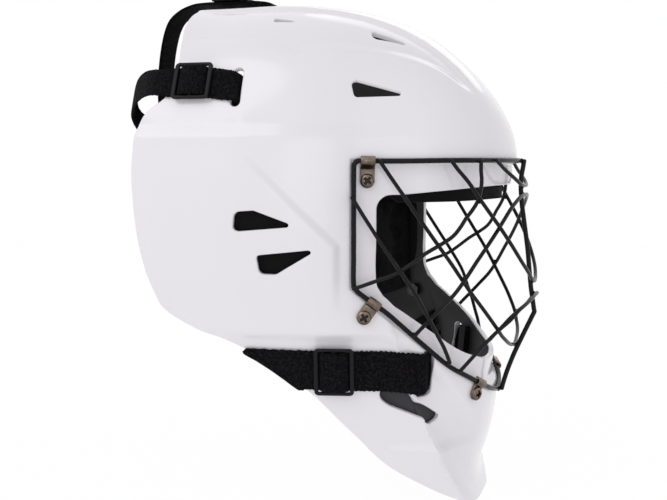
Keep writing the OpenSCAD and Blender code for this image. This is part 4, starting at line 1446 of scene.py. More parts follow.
@dataclass
class Cage:
    """The welded cage of rod and wire."""

    form: Form
    rod: float = 3.2
    wire: float = 2.5
    reach: float = 139.5
    upright_angle: float = 79.4
    touch: float = 0.05
    oval: float = 2.3
    bar_from: float = 45.0
    weld_gap: float = 0.4
    weld_apart: float = 4.0
    bead_size: tuple[float, float, float] = (2.3, 1.15, 1.0)
    lift: float = field(init=False)
    over: float = field(init=False)
    low_bar: Array = field(init=False)
    half: Array = field(init=False)
    nose: Array = field(init=False)
    sides: Array = field(init=False)

    def __post_init__(self) -> None:
        """Works out the tables of the surface that the wires lie on."""
        f, th, z = self.form, self.upright_angle, self.form.bar_height
        self.lift = self.rod / 2 + self.touch
        self.over = self.rod / 2 + self.wire / 2 + 0.02
        low = [[24, -81.5], [35, -73], [43, -65], [56, -47], [67, -32]]
        self.low_bar = np.array([[0, -92], [10, -89], *low, [72.5, -26], [77, -20]], float)
        corner = [[0, z + 1], [15, z + 1], [30, z + 0.7], [45, z + 0.4], [60, z], [71, z], [77.3, z],
                  [79, z - 1.6], [th, z - 6], [th, 30], [th, 0], [th, -13], [78.6, -17.5], [76, -21.3],
                  *low[::-1], [12, -88.5], [0, -92]]
        way = glide(corner, 2)
        self.half = self.on_frame(way[:, 0], way[:, 1])
        front = self.reach - f.axis
        self.nose = np.array([[-92, self.level_radius(0, -92)], [-66, front - 12.5], [-39, front],
                              [-22, front - 2.5], [4, front - 5], [33, front - 9],
                              [62, self.level_radius(0, 62)]], float)
        rows = [[-95.0, 66.0], [-88.0, 68.0]]
        for angle in (24, 35, 43, 56, 70):
            low = float(np.interp(angle, *self.low_bar.T))
            rows.append([low, self.half_at(angle, low)])
        rows += [[level, self.half_at(th, level)] for level in (-17, 10, 35, z)]
        self.sides = np.array(rows)

    def on_frame(self, angle: Array, z: Array) -> Array:
        """Points on the centre line of the frame rod."""
        p = self.form.level(angle, z)
        return p + (self.lift + self.form.belt(p))[..., None] * self.form.level_out(angle, z)

    def level_radius(self, angle: float, z: float) -> float:
        """Distance of the frame rod from the cage axis."""
        p = self.form.level(angle, z)
        return float(np.hypot(p[0] - self.form.axis, p[1]) + self.lift + self.form.belt(p))

    def half_at(self, angle: float, z: float) -> float:
        """Half width of the oval that meets the frame.

        Args:
            angle: the angle at which it meets it, in degrees.
            z: the height.

        Returns:
            The half width.
        """
        r, turn = self.level_radius(angle, z), math.radians(angle)
        nose = float(np.interp(z, *self.nose.T))
        return math.sin(turn) / (r ** -self.oval - (math.cos(turn) / nose) ** self.oval) ** (1 / self.oval)

    def on_cage(self, angle: float, z: float, layer: float) -> Array:
        """Point of the cage.

        Args:
            angle: its angle about the axis of the cage, in degrees.
            z: its height.
            layer: how far it lies outside the surface of the cage.

        Returns:
            The point.
        """
        turn = math.radians(angle)
        a, b = float(np.interp(z, *self.nose.T)), float(np.interp(z, *self.sides.T))
        r = ((math.cos(turn) / a) ** self.oval + (abs(math.sin(turn)) / b) ** self.oval) ** (-1 / self.oval)
        high = float(ease(self.bar_from, self.form.bar_height - 2, np.array(z)))
        if high > 0:
            r = mix(r, self.level_radius(angle, z), high)
        out = unit(np.array([math.cos(turn) / a ** 2, math.sin(turn) / b ** 2, 0]))
        return np.array([self.form.axis + r * math.cos(turn), r * math.sin(turn), z]) + layer * out

    def run(self, route: Sequence[Sequence[float]], steps: int = 2) -> Array:
        """Centre line of a wire from its route of angle, height and layer."""
        return np.array([self.on_cage(*q) for q in glide(route, steps)])

    def crossing(self, route: Sequence[Sequence[float]], steps: int = 2) -> Array:
        """Centre line of a wire that goes on the same way on the other side."""
        half = self.run(route, steps)
        return np.concatenate([half, flipped(half[:-1])[::-1]])

    def lines(self) -> dict[str, list[Array]]:
        """Routes of all wires, as angle, height and layer.

        Returns:
            The centre lines by the name of their node.
        """
        over, z = self.over, self.form.bar_height
        under, outer = over - self.wire - 0.04, over + self.wire + 0.04
        bar_over = self.rod + 0.02
        temple = [[79.4, 39, over], [69.9, 13, 4.6], [62.9, -6, outer], [53.8, -31, outer],
                  [49.5, -43, outer], [45.4, -54, 4.4], [41.8, -65, over]]
        loop = [[69.3, z, over], [61.1, 39, 1.4], [53.4, 19, under], [45.4, -2, under], [38.6, -20, under],
                [26.6, -44, under], [18.3, -54, -1], [9.5, -59, -over - 0.1], [0, -61, -over - 0.1]]
        vee = [[44.2, z, over], [40, 49, 4.6], [35.6, 37, outer], [27.7, 19, outer], [17.2, -2, 4.2],
               [6, -15.5, over], [0, -18, over]]
        brow = [[25.1, z + 1, over], [17, 53.5, over], [8.5, 46.5, over], [0, 45.5, over]]
        cheek = [[78.9, -17, over], [69.4, -11, over], [62.9, -6, over], [54.3, 5, over], [45.4, 15, over],
                 [40.5, 26, over], [36, 36, over], [33.7, 49, over], [32.8, z + 0.6, over]]
        arch = [[55.6, -46.5, over], [51.3, -36, over], [44.6, -20, over], [37.2, -1, over], [28.4, 17, over],
                [19.4, 31, over], [9.5, 38.5, over], [0, 39.5, over]]
        chin = [[37, -70.8, over], [31, -56, over], [26.1, -45, over], [19, -34, over], [8, -28, over],
                [0, -26.5, over]]
        bar = [[0, z + 1, bar_over], [0, 52, 1.2], [0, 44, 0], [0, 33, 0], [0, 4, 0], [0, -22, 0],
               [0, -37, 0], [0, -42, 0], [0, -66, 0], [0, -82, 1.4], [0, -92, bar_over]]
        near, side = self.run(temple), self.run(cheek)
        return {"cage_centre_bar": [self.run(bar)], "cage_wires_temple": [near, flipped(near)],
                "cage_wire_loop": [self.crossing(loop)], "cage_wire_vee": [self.crossing(vee)],
                "cage_wire_brow": [self.crossing(brow, 3)], "cage_wires_cheek": [side, flipped(side)],
                "cage_wire_arch": [self.crossing(arch)], "cage_wire_chin": [self.crossing(chin)]}

    def welds(self, lines: dict[str, list[Array]]) -> Array:
        """Places where two wires, or a wire and the frame, are welded, with the ways that both run.

        Args:
            lines: the centre lines by node.

        Returns:
            One row for each weld: its place, and the directions of the two wires.
        """
        runs = [line for group in lines.values() for line in group]
        found: list[Array] = []
        for i, a in enumerate(runs):
            for b in runs[i + 1:]:
                if np.linalg.norm(a[0] - b[0]) < 0.1:
                    continue
                d = np.linalg.norm(a[:, None] - b, axis=-1)
                for j, k in zip(*np.where(d < self.rod + self.weld_gap)):
                    if d[j, k] > d[max(0, j - 3):j + 4, max(0, k - 3):k + 4].min():
                        continue
                    spot = (a[j] + b[k]) / 2
                    if all(np.linalg.norm(spot - f[0]) > self.weld_apart for f in found):
                        ways = [unit(line[min(q + 1, len(line) - 1)] - line[max(q - 1, 0)])
                                for line, q in ((a, j), (b, k))]
                        found.append(np.array([spot, *ways]))
        return np.array(found)

    def bead(self, spot: Array, one: Array, two: Array) -> Array:
        """Rings of a weld bead.

        Args:
            spot: its middle.
            one: the way of one wire.
            two: the way of the other.

        Returns:
            The rings, ready for loft.
        """
        length, width, height = self.bead_size
        out = unit(np.cross(one, two))
        long = unit(one + two * (1 if one @ two >= 0 else -1))
        turn = np.linspace(0, 2 * np.pi, 12, endpoint=False)[:, None]
        ring = width * np.cos(turn) * np.cross(out, long) + height * np.sin(turn) * out
        return np.array([spot + length * long * math.cos(a) + math.sin(a) * ring
                         for a in np.linspace(0.15, math.pi - 0.15, 9)])

    def build(self) -> None:
        """Makes the frame, the wires and their welds."""
        frame_line = glide(np.concatenate([self.half, flipped(self.half[1:-1])[::-1]]), 5, closed=True)
        mesh = Mesh()
        mesh.add(*loft(tube_rings(frame_line, self.rod / 2, 18, closed=True), closed=True))
        dress(mesh.make("frame_rod", [CAGE]), CAGE, Body.HELMET, "cage_frame")
        fine = {node: [glide(line, 6) for line in group] for node, group in self.lines().items()}
        for node, group in fine.items():
            mesh = Mesh()
            radius = (self.rod if node == "cage_centre_bar" else self.wire) / 2
            for line in group:
                mesh.add(*loft(tube_rings(line, radius, 14)))
            dress(mesh.make(node.replace("cage_", "") + "_smooth", [CAGE]), CAGE, Body.HELMET, node)
        mesh = Mesh()
        for weld in self.welds({**fine, "frame": [np.concatenate([frame_line, frame_line[:1]])]}):
            mesh.add(*loft(self.bead(*weld)))
        dress(mesh.make("weld_beads", [CAGE]), CAGE, Body.HELMET)


# The clips

@dataclass(frozen=True)
class ClipSpot:
    """Where a pair of clips sits.

    The angle and the height are those of its screw, packing is how far its foot stands off the shell, and
    recess_turn is the angle at which the recess of the screw stopped.
    """

    angle: float
    height: float
    packing: float
    recess_turn: float


@dataclass
class Clips:
    """The six bent clips that hold the cage, with their screws."""

    form: Form
    cage: Cage
    width: float = 9.0
    thick: float = 1.2
    corner: float = 0.32
    play: float = 0.3
    screw: float = 4.0
    pitch: float = 0.7
    thread: float = 0.3
    plain_share: float = 0.35
    head: float = 9.0
    head_height: float = 2.6
    head_edge: float = 0.55
    recess: float = 1.5
    nut_height: float = 3.2
    nut_gap: float = 2.35
    spots: dict[str, ClipSpot] = field(default_factory=lambda: {
        "temple": ClipSpot(73.9, 49.0, 0.9, 38.0), "jaw": ClipSpot(75.3, -35.0, 0.6, 25.0),
        "chin": ClipSpot(26.0, -88.0, 0.3, 62.0)})

    def axes(self, spot: ClipSpot) -> tuple[Array, float, float]:
        """Where a clip lies in space.

        Args:
            spot: where it sits on the shell.

        Returns:
            Its axes and origin as a 3 by 4 table, how far the rod is, and how high above the clip's foot.
        """
        n = self.form.level_out(spot.angle, spot.height)
        p = self.form.skin_at(spot.angle, spot.height) + spot.packing * n
        best, run = None, None
        for a, b in zip(self.cage.half, self.cage.half[1:]):
            if p[2] >= 0 and b[2] <= self.form.bar_height - 1:
                continue
            q = a + (b - a) * min(1, max(0, (p - a) @ (b - a) / ((b - a) @ (b - a))))
            if best is None or np.linalg.norm(p - q) < np.linalg.norm(p - best):
                best, run = q, unit(b - a)
        w = unit(run - (run @ n) * n)
        t = np.cross(n, w)
        s = 1.0 if (best - p) @ t > 0 else -1.0
        table = np.column_stack([s * w, s * t, n, p])
        return table, float((best - p) @ t * s), float((best - p) @ n)

    def strip(self, far: float, rise: float) -> Patch:
        """The bent strip of a clip, in its own axes.

        Args:
            far: how far the rod is from the screw.
            rise: how high the rod is above the foot.

        Returns:
            The vertices and the faces.
        """
        t, r, edge = self.thick, self.width / 2, self.corner
        inner = self.cage.rod / 2 + self.play
        bend = far - inner - max(1.5, 0.75 * rise)
        hook = [[far - (inner + t / 2) * math.cos(a), rise + (inner + t / 2) * math.sin(a)]
                for a in np.linspace(0, math.pi, 19)]
        start = [[0, t / 2], [bend + 0.2, t / 2], [far - inner - t / 2, rise - 0.2]]
        foot = [[-r * math.cos(a), t / 2] for a in np.linspace(0.06, math.pi / 2 - 0.12, 12)]
        path = np.array(foot + rounded(start, 1.2)[:-1].tolist() + hook + [[far + inner + t / 2, rise - 1.2]])
        half = np.where(path[:, 0] < 0, np.sqrt(np.maximum(r * r - path[:, 0] ** 2, 0.04)), r)
        half[-3:] -= [0.0, 0.15, 0.5]
        way = unit(np.gradient(path, axis=0))
        out = np.stack([-way[:, 1], way[:, 0]], axis=1)
        rings = []
        for p, o, h in zip(path, out, half):
            e = min(edge, h * 0.9)
            rings.append([[sx * (h - e) + e * math.cos(a),
                           *(p + o * (sz * (t / 2 - edge) + edge * math.sin(a)))]
                          for sx, sz, a in round_corners((8, 45, 82))])
        return loft(np.array(rings))

    def screw_parts(self, deep: float) -> list[tuple[Array, list[list[int]], int]]:
        """Parts of a screw, in the axes of its clip.

        Args:
            deep: how far below the foot of the clip the screw ends.

        Returns:
            The head, its recess and the shank, each as vertices, faces and material slot.
        """
        r, base = self.head / 2, self.thick + 0.05
        ticks = np.array([0, 0.35, 0.62, 0.78, 0.92, 1.3, 1.9, 2.3, 2.55, 2.8, 3.2, 3.7, 4.1, 4.35,
                          4.5]) / 4.5
        ticks = np.concatenate([-ticks[:0:-1], ticks])
        x, y = np.meshgrid(ticks, ticks, indexing="ij")
        px, py = x * np.sqrt(1 - y * y / 2) * r, y * np.sqrt(1 - x * x / 2) * r
        far = np.hypot(px, py)
        dome = base + self.head_edge + (self.head_height - self.head_edge) * np.sqrt(
            np.maximum(1 - (far / r) ** 2.6, 0))

        def arm(across: Array, along: Array) -> Array:
            """Share of the depth in one arm of the cross."""
            return (1 - ease(0.55, 0.95, np.abs(across))) * (1 - ease(2.2, 2.75, np.abs(along)))

        sunk = np.maximum(np.maximum(arm(px, py), arm(py, px)), 1 - ease(0.7, 1.5, far))
        top = np.stack([px, py, dome - self.recess * sunk], axis=-1).reshape(-1, 3)
        faces = grid_faces(len(ticks), len(ticks))
        deep_share = [sunk.ravel()[f].mean() for f in faces]
        recess = [f for f, share in zip(faces, deep_share) if share > 0.55]
        faces = [f for f, share in zip(faces, deep_share) if share <= 0.55]
        border, start = grid_border(len(ticks), len(ticks)), len(top)
        skirt = top[border] * [1, 1, 0] + [0, 0, base]
        rim = [*zip(border, range(start, start + len(border)))]
        faces += [[a, a_low, b_low, b] for (a, a_low), (b, b_low) in zip(rim, rim[1:] + rim[:1])]
        z = -deep * self.plain_share
        profile = [[self.screw / 2, base + 0.2], [self.screw / 2, z]]
        while z > -deep + 0.9:
            profile += [[self.screw / 2 - self.thread, z - self.pitch / 2], [self.screw / 2, z - self.pitch]]
            z -= self.pitch
        profile.append([self.screw / 2 - 0.5, -deep])
        rings = np.array([[[q[0] * math.cos(a), q[0] * math.sin(a), q[1]]
                           for a in np.linspace(0, 2 * np.pi, 20, endpoint=False)] for q in profile[::-1]])
        head = np.concatenate([top, skirt])
        # The cross recess takes slot 1, where the bronze is painted dark as shade.
        return [(head, faces, 0), (head, recess, 1), (*loft(rings), 0)]

    def build(self) -> None:
        """Makes the clips and the screws."""
        screws = Mesh()
        for name, spot in self.spots.items():
            clips = Mesh()
            table, far, rise = self.axes(spot)
            p = self.form.level(spot.angle, spot.height)
            step = float(self.form.relief(p) - self.form.inner_relief(p))
            deep = self.form.wall + step + spot.packing + self.nut_gap + self.nut_height + 1
            a = math.radians(spot.recess_turn)
            spin = np.array([[math.cos(a), math.sin(a), 0], [-math.sin(a), math.cos(a), 0], [0, 0, 1]])
            strip, strip_faces = self.strip(far, rise)
            for side in Side:
                clips.add(*on_side(placed(strip, table), strip_faces, side))
                for points, faces, slot in self.screw_parts(deep):
                    screws.add(*on_side(placed(points @ spin, table), faces, side), slot)
            dress(clips.make(f"{name}_clips_bent", [BRONZE]), BRONZE, Body.HELMET, f"clips_{name}")
        dress(screws.make("cross_screws", [BRONZE, RECESS_SHADE]), BRONZE, Body.HELMET, "clip_screws")


# The harness

@dataclass
class Harness:
    """Five elastic straps with their sliders, and the plate that they pull on."""

    form: Form
    shell: Shell
    thick: float = 2.0
    gap: float = 0.3
    slim: float = 0.92
    slider_length: float = 25.0
    slider_thick: float = 2.2
    slider_edge: float = 0.55
    slider_corner: float = 2.2
    window_corner: float = 1.0
    play: float = 0.4
    bar: float = 2.6
    rail: float = 2.0
    plate_at: float = -122.0
    plate_z: float = 45.0
    plate_width: float = 78.0
    plate_height: float = 76.0
    plate_thick: float = 3.0
    plate_bow: tuple[float, float] = (0.006, 0.0025)
    on_plate: float = 0.55
    upper_slider: tuple[float, float] = (130.0, 109.7)
    jaw_slider_angle: float = 87.0
    crown_slider: float = -72.0
    lie: float = field(init=False)
    tail: float = field(init=False)
    across: Array = field(init=False)
    low_rim: Array = field(init=False)
    jaw_height: float = field(init=False)

    def __post_init__(self) -> None:
        """Works out the values that several straps share."""
        self.lie = self.gap + self.thick / 2
        self.tail = -self.form.wall - 4
        self.across = np.linspace(-1, 1, 5)
        rim = self.shell.rim_line
        low = rim[(rim[:, 1] < -40) & (rim[:, 0] < 110)]
        self.low_rim = low[np.argsort(low[:, 0])]
        self.jaw_height = self.shell.jaw_slot[1] + 2

    # Rows of points across a strap, each lift millimetres off the skin

    def bedded(self, points: Array, out: Array, lift: float) -> Array:
        """Row that bridges the features of the skin.

        Args:
            points: its points on the form.
            out: the directions out of the form there.
            lift: how far it lies off the skin, or below it where less than 0.

        Returns:
            The points of the row.
        """
        relief = self.form.relief(points)
        bed = relief.max() if lift > -1 else relief.min()
        return points + (bed + lift) * out

    def level_row(self, angle: float, z: float, width: float, lift: float) -> Array:
        """Upright row on the skin, about an angle and height."""
        heights = z + self.across * width / 2
        return self.bedded(self.form.level(angle, heights), self.form.level_out(angle, heights), lift)

    def beside(self, xs: Sequence[float], zs: Sequence[float], lift: float) -> Array:
        """Row on the side of the skin, through pairs of x and z."""
        points, ways = zip(*(self.form.side_at(x, z) for x, z in zip(xs, zs)))
        return self.bedded(np.array(points), np.array(ways), lift)

    def side_row(self, xs: Sequence[float], z: float, width: float, lift: float) -> Array:
        """Upright row on the side of the skin, through the given x."""
        return self.beside(xs, z + self.across * width / 2, lift)

    def slot_row(self, angle: float, z: float, width: float, past: float, lift: float) -> Array:
        """Row in the axes of a slot, past it along the skin."""
        x, side, n, p = self.at_level(angle, z).T
        return p + past * x + lift * n + (self.across * width / 2)[:, None] * side

    def free_row(self, p: Sequence[float], width: float, way: Sequence[float]) -> Array:
        """Row in the air, about the point p along way."""
        return np.array(p, float) + (self.across * width / 2)[:, None] * unit(np.array(way, float))

    def bowed(self, y: Array, z: Array) -> Array:
        """Where the middle of the back plate is along X, y and z off its own middle."""
        return self.plate_at + self.plate_bow[0] * y ** 2 + self.plate_bow[1] * z ** 2

    def plate_row(self, y: float, z: float, width: float, way: Sequence[float]) -> Array:
        """Row on the outer face of the back plate.

        Args:
            y: where its middle is.
            z: how high its middle is.
            width: the width of the strap.
            way: the direction across the strap, in Y and Z.

        Returns:
            The points of the row.
        """
        ys, zs = y + self.across * width / 2 * way[0], z + self.across * width / 2 * way[1]
        x = self.bowed(ys, zs - self.plate_z) - self.plate_thick / 2 - self.thick / 2 - self.on_plate
        return np.stack([x, ys, zs], axis=1)

    def rim_z(self, x: Array) -> Array:
        """Height of the lower rim at x."""
        return np.interp(x, self.low_rim[:, 0], self.low_rim[:, 1])

    def rim_x(self, k: Array) -> Array:
        """Where each line of the jaw strap meets the lower rim."""
        return -8 - (75 + self.jaw_height + k * self.shell.wide_strap_width / 2) / 0.726

    def round_rim(self, past: float, lift: float) -> Array:
        """Row of the jaw strap beside the rim, past it by some millimetres."""
        x = self.rim_x(self.across)
        return self.beside(x - 0.59 * past, self.rim_z(x) - 0.81 * past, lift)

    def inward(self, s: float) -> Array:
        """Row of the jaw strap inside the shell.

        Args:
            s: how far it is past the rim.

        Returns:
            The points of the row.
        """
        k, x = self.across, self.rim_x(self.across)
        xs, zs = mix(x, -8 - 13 * k, s / 30) - 0.31 * s, mix(self.rim_z(x), -75 - 4 * k, s / 30) + 0.95 * s
        return self.beside(xs, zs, -self.form.wall - 3.7)

    def upper_rows(self) -> Array:
        """Route of the left upper strap.

        Returns:
            Its rows, from the slot to the back plate.
        """
        x, z = self.shell.upper_slot
        w = self.shell.strap_width
        angle = math.degrees(math.atan2(100, x - self.form.axis))
        rows = [self.slot_row(angle, z, w, a, h) for a, h in
                ((-11, self.tail), (-3.2, self.tail), (-0.5, -2.4), (1.4, self.lie))]
        slim = w * self.slim
        rows += [self.level_row(th, mix(z, 110, float(ease(118, 130, np.array(th)))), slim, self.lie)
                 for th in (122, 126, 130, 134)]
        rows += [self.free_row(p, slim, way) for p, way in (
            ([-84.5, 100.1, 110.6], [0, -0.4, 0.917]), ([-93, 97, 111], [0, -0.4, 0.9]),
            ([-103, 88, 110], [0.05, -0.3, 0.95]), ([-113, 76.5, 106], [0.15, -0.1, 0.97]),
            ([-120.5, 64, 98], [0.25, 0.2, 0.93]), ([-121.5, 52, 88], [0.2, 0.45, 0.87]))]
        return np.array(rows + [self.plate_row(37, 76, slim, (0.6, 0.8)),
                                self.plate_row(22, 64, slim, (0.62, 0.78))])

    def crown_rows(self) -> Array:
        """Route of the crown strap.

        Returns:
            Its rows, from the slot to the back plate.
        """
        h, w, x0 = self.form.crown_height, self.shell.wide_strap_width, self.shell.crown_slot
        spots = [(x0 + 9, h + self.tail), (x0 + 3.5, h + self.tail), (x0 + 0.6, h - 3), (x0 - 1, h + 1.8),
                 (-50, h + 3.5), (-58, h + 4), (-68, h + 4), (-78, h + 4), (-88, h + 4), (-99, h + 3),
                 (-110, h - 1.5), (-118, h - 10), (-123, 140), (-125.5, 115), (-124.5, 92)]
        rows = [self.free_row([x, 0, z], w, [0, 1, 0]) for x, z in spots]
        return np.array(rows + [self.plate_row(0, 68, w, (1, 0)), self.plate_row(0, 50, w, (1, 0))])

    def jaw_rows(self) -> Array:
        """Route of the left jaw strap.

        Returns:
            Its rows, from the slot to the back plate.
        """
        x, z = self.shell.jaw_slot
        w, zj = self.shell.wide_strap_width, self.jaw_height
        angle = math.degrees(math.atan2(71, x - self.form.axis))
        rows = [self.slot_row(angle, z, w, a, h)
                for a, h in ((-15, self.tail), (-8.5, self.tail), (-2.8, -2.4))]
        rows += [self.level_row(th, z + 2 * float(ease(50, 70, np.array(th))), w, self.lie)
                 for th in (angle + 1, 55, 59, 63, 67)]
        rows += [self.side_row([v] * 5, zj, w, self.lie) for v in (47, 37, 27, 17, 7)]
        rows += [self.side_row(mix(5, self.rim_x(self.across) + 2.5, t), zj, w, self.lie)
                 for t in (0.35, 0.7, 1)]
        rows += [self.round_rim(1.9, 1.2), self.round_rim(3.1, -2), self.round_rim(2.5, -6.2), self.inward(5),
                 self.inward(20)]
        rows += [self.free_row(p, w, way) for p, way in (
            ([-26, 91, -33], [-0.9, 0, -0.45]), ([-48, 84, -14], [-0.6, 0.05, -0.8]),
            ([-80, 70, 4], [-0.4, 0.1, -0.9]), ([-105, 55, 14], [-0.2, 0, -0.97]),
            ([-117, 43, 19], [-0.05, -0.1, -1]))]
        return np.array(rows + [self.plate_row(y, z, w, (-0.3, -0.95)) for y, z in ((30, 25), (16, 30))])

    # Pieces

    def strap(self, name: str, node: str, rows: Array) -> None:
        """Makes one strap, which bends between the helmet and the back plate.

        Args:
            name: the name of the piece.
            node: the CAD node that it stands for.
            rows: the points across it, row by row.
        """
        points, faces, places = ribbon(rows, self.thick, 12, 0.3)
        mesh = Mesh()
        mesh.add(points, faces, 0, places)
        piece = mesh.make(name, [ELASTIC], crease=60)
        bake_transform(piece)
        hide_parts(node)
        LOG.info("%s bends between helmet and back, %d faces", name, len(faces))

    def slider_plate(self, width: float) -> Patch:
        """A three-bar slider with rounded edges, in its own axes.

        Args:
            width: the width of its strap.

        Returns:
            The vertices and the faces.
        """
        soft, long = self.slider_edge, self.slider_length / 2
        curve = bpy.data.curves.new("slider_outline", "CURVE")
        curve.dimensions, curve.fill_mode = "2D", "BOTH"
        curve.extrude, curve.bevel_depth, curve.bevel_resolution = self.slider_thick / 2 - soft, soft, 2
        window = (long - self.bar - self.bar / 2) / 2
        middle = self.bar / 2 + window
        boxes = [(0.0, long - soft, width / 2 + 1 + self.play + self.rail / 2 - soft, self.slider_corner)]
        boxes += [(s * middle, window + soft, width / 2 + self.play + soft, self.window_corner)
                  for s in (-1, 1)]
        for x, a, b, r in boxes:
            spline = curve.splines.new("POLY")
            dots = [[x + sx * (a - r) + r * math.cos(t), sy * (b - r) + r * math.sin(t), 0, 1]
                    for sx, sy, t in round_corners(np.linspace(0, 90, 6))]
            spline.points.add(len(dots) - 1)
            spline.points.foreach_set("co", np.array(dots, float).ravel())
            spline.use_cyclic_u = True
        holder = bpy.data.objects.new("slider_outline", curve)
        bpy.context.scene.collection.objects.link(holder)
        data = bpy.data.meshes.new_from_object(holder.evaluated_get(bpy.context.evaluated_depsgraph_get()))
        height = self.gap + self.thick + self.gap + self.slider_thick / 2
        points = np.array([tuple(v.co) for v in data.vertices]) + [0, 0, height]
        faces = [list(p.vertices) for p in data.polygons]
        bpy.data.objects.remove(holder)
        bpy.data.meshes.remove(data)
        return points, faces

    def turn_rows(self, width: float) -> Array:
        """Rows of the loop of strap over the middle bar of a slider.

        Args:
            width: the width of the strap.

        Returns:
            The rows, in the axes of the slider.
        """
        base = self.gap + self.thick + self.gap
        high = base + self.slider_thick + 0.2 + self.thick / 2 - 0.1
        foot = self.slider_length / 2 - 3.7
        rise = [[-foot, base - 0.9], [1 - foot, base + 1.0], [2.6 - foot, high - 1.0], [-3.4, high - 0.1]]
        path = glide(rise + [[0, high + 0.1]] + [[-x, z] for x, z in rise[::-1]], 2)
        return np.array([[[x, k * width / 2, z] for k in self.across] for x, z in path])

    def adjuster(self, name: str, width: float, table: Array, side: Side | None = None) -> None:
        """Makes a slider with its loop of strap.

        Args:
            name: the name of the strap.
            width: its width.
            table: the axes and origin of the slider, on the left side.
            side: the side on which it sits, if it isn't in the middle.
        """
        end = f"_{side.word}" if side else ""
        loop_points, loop_faces, places = ribbon(self.turn_rows(width), self.thick, 3, 0.2)
        plate_points, plate_faces = self.slider_plate(width)
        for label, node, finish, points, faces, cloth, crease in (
                ("slider", "slider", MOULDED, plate_points, plate_faces, None, 50),
                ("loop", "turn", ELASTIC, loop_points, loop_faces, places, 60)):
            mesh = Mesh()
            mesh.add(*on_side(placed(points, table), faces, side or Side.LEFT), 0, cloth)
            piece = mesh.make(f"{name}{end}_{label}_soft", [finish], crease=crease)
            dress(piece, finish, Body(f"{name}_adjuster{end}"), f"{name}_{node}{end}")

    def at_level(self, angle: float, z: float) -> Array:
        """Axes and origin of a slider or slot on the skin.

        Args:
            angle: its angle about the axis of the cage, in degrees.
            z: its height.

        Returns:
            The directions along the strap, across it and out of the skin, and the origin, as a 3 by 4 table.
        """
        p, n = self.form.skin_at(angle, z), self.form.level_out(angle, z)
        x = unit(np.cross([0, 0, 1], n))
        return np.column_stack([x, np.cross(n, x), n, p])

    def build(self) -> None:
        """Makes the straps and the sliders."""
        wide, slim = self.shell.wide_strap_width, self.shell.strap_width
        self.strap("crown_band", "crown_strap", self.crown_rows())
        crown = np.column_stack([np.eye(3), [self.crown_slider, 0, self.form.crown_height + 4 - self.lie]])
        self.adjuster("crown", wide, crown)
        plans = (("upper", slim, self.upper_rows(), [-95.0, 96, 110], [-120.0, 34, 74],
                  self.at_level(*self.upper_slider)),
                 ("jaw", wide, self.jaw_rows(), [-24.0, 92, -36], [-117.0, 34, 22],
                  self.at_level(self.jaw_slider_angle, self.jaw_height)))
        for side in Side:
            for name, _, rows, start, end, _ in plans:
                start, end = np.array(start), np.array(end)
                if side is Side.RIGHT:
                    rows, start, end = flipped(rows)[:, ::-1], flipped(start), flipped(end)
                self.strap(f"{name}_band_{side.word}", f"{name}_strap_{side.word}", rows)
            for name, width, *_, table in plans:
                self.adjuster(name, width, table, side)


# The padding

@dataclass(frozen=True)
class Pad:
    """Plan of a pad in the shell.

    For places u and v from -1 to 1, aim gives directions from the centre of the form. The pad lies lift
    off the inner face, has so many parts across u, and is sewn along channels, each across u or v at a
    place.
    """

    name: str
    node: str
    aim: Aim
    thick: float
    channels: Sequence[tuple[str, float]]
    across: int
    lift: float


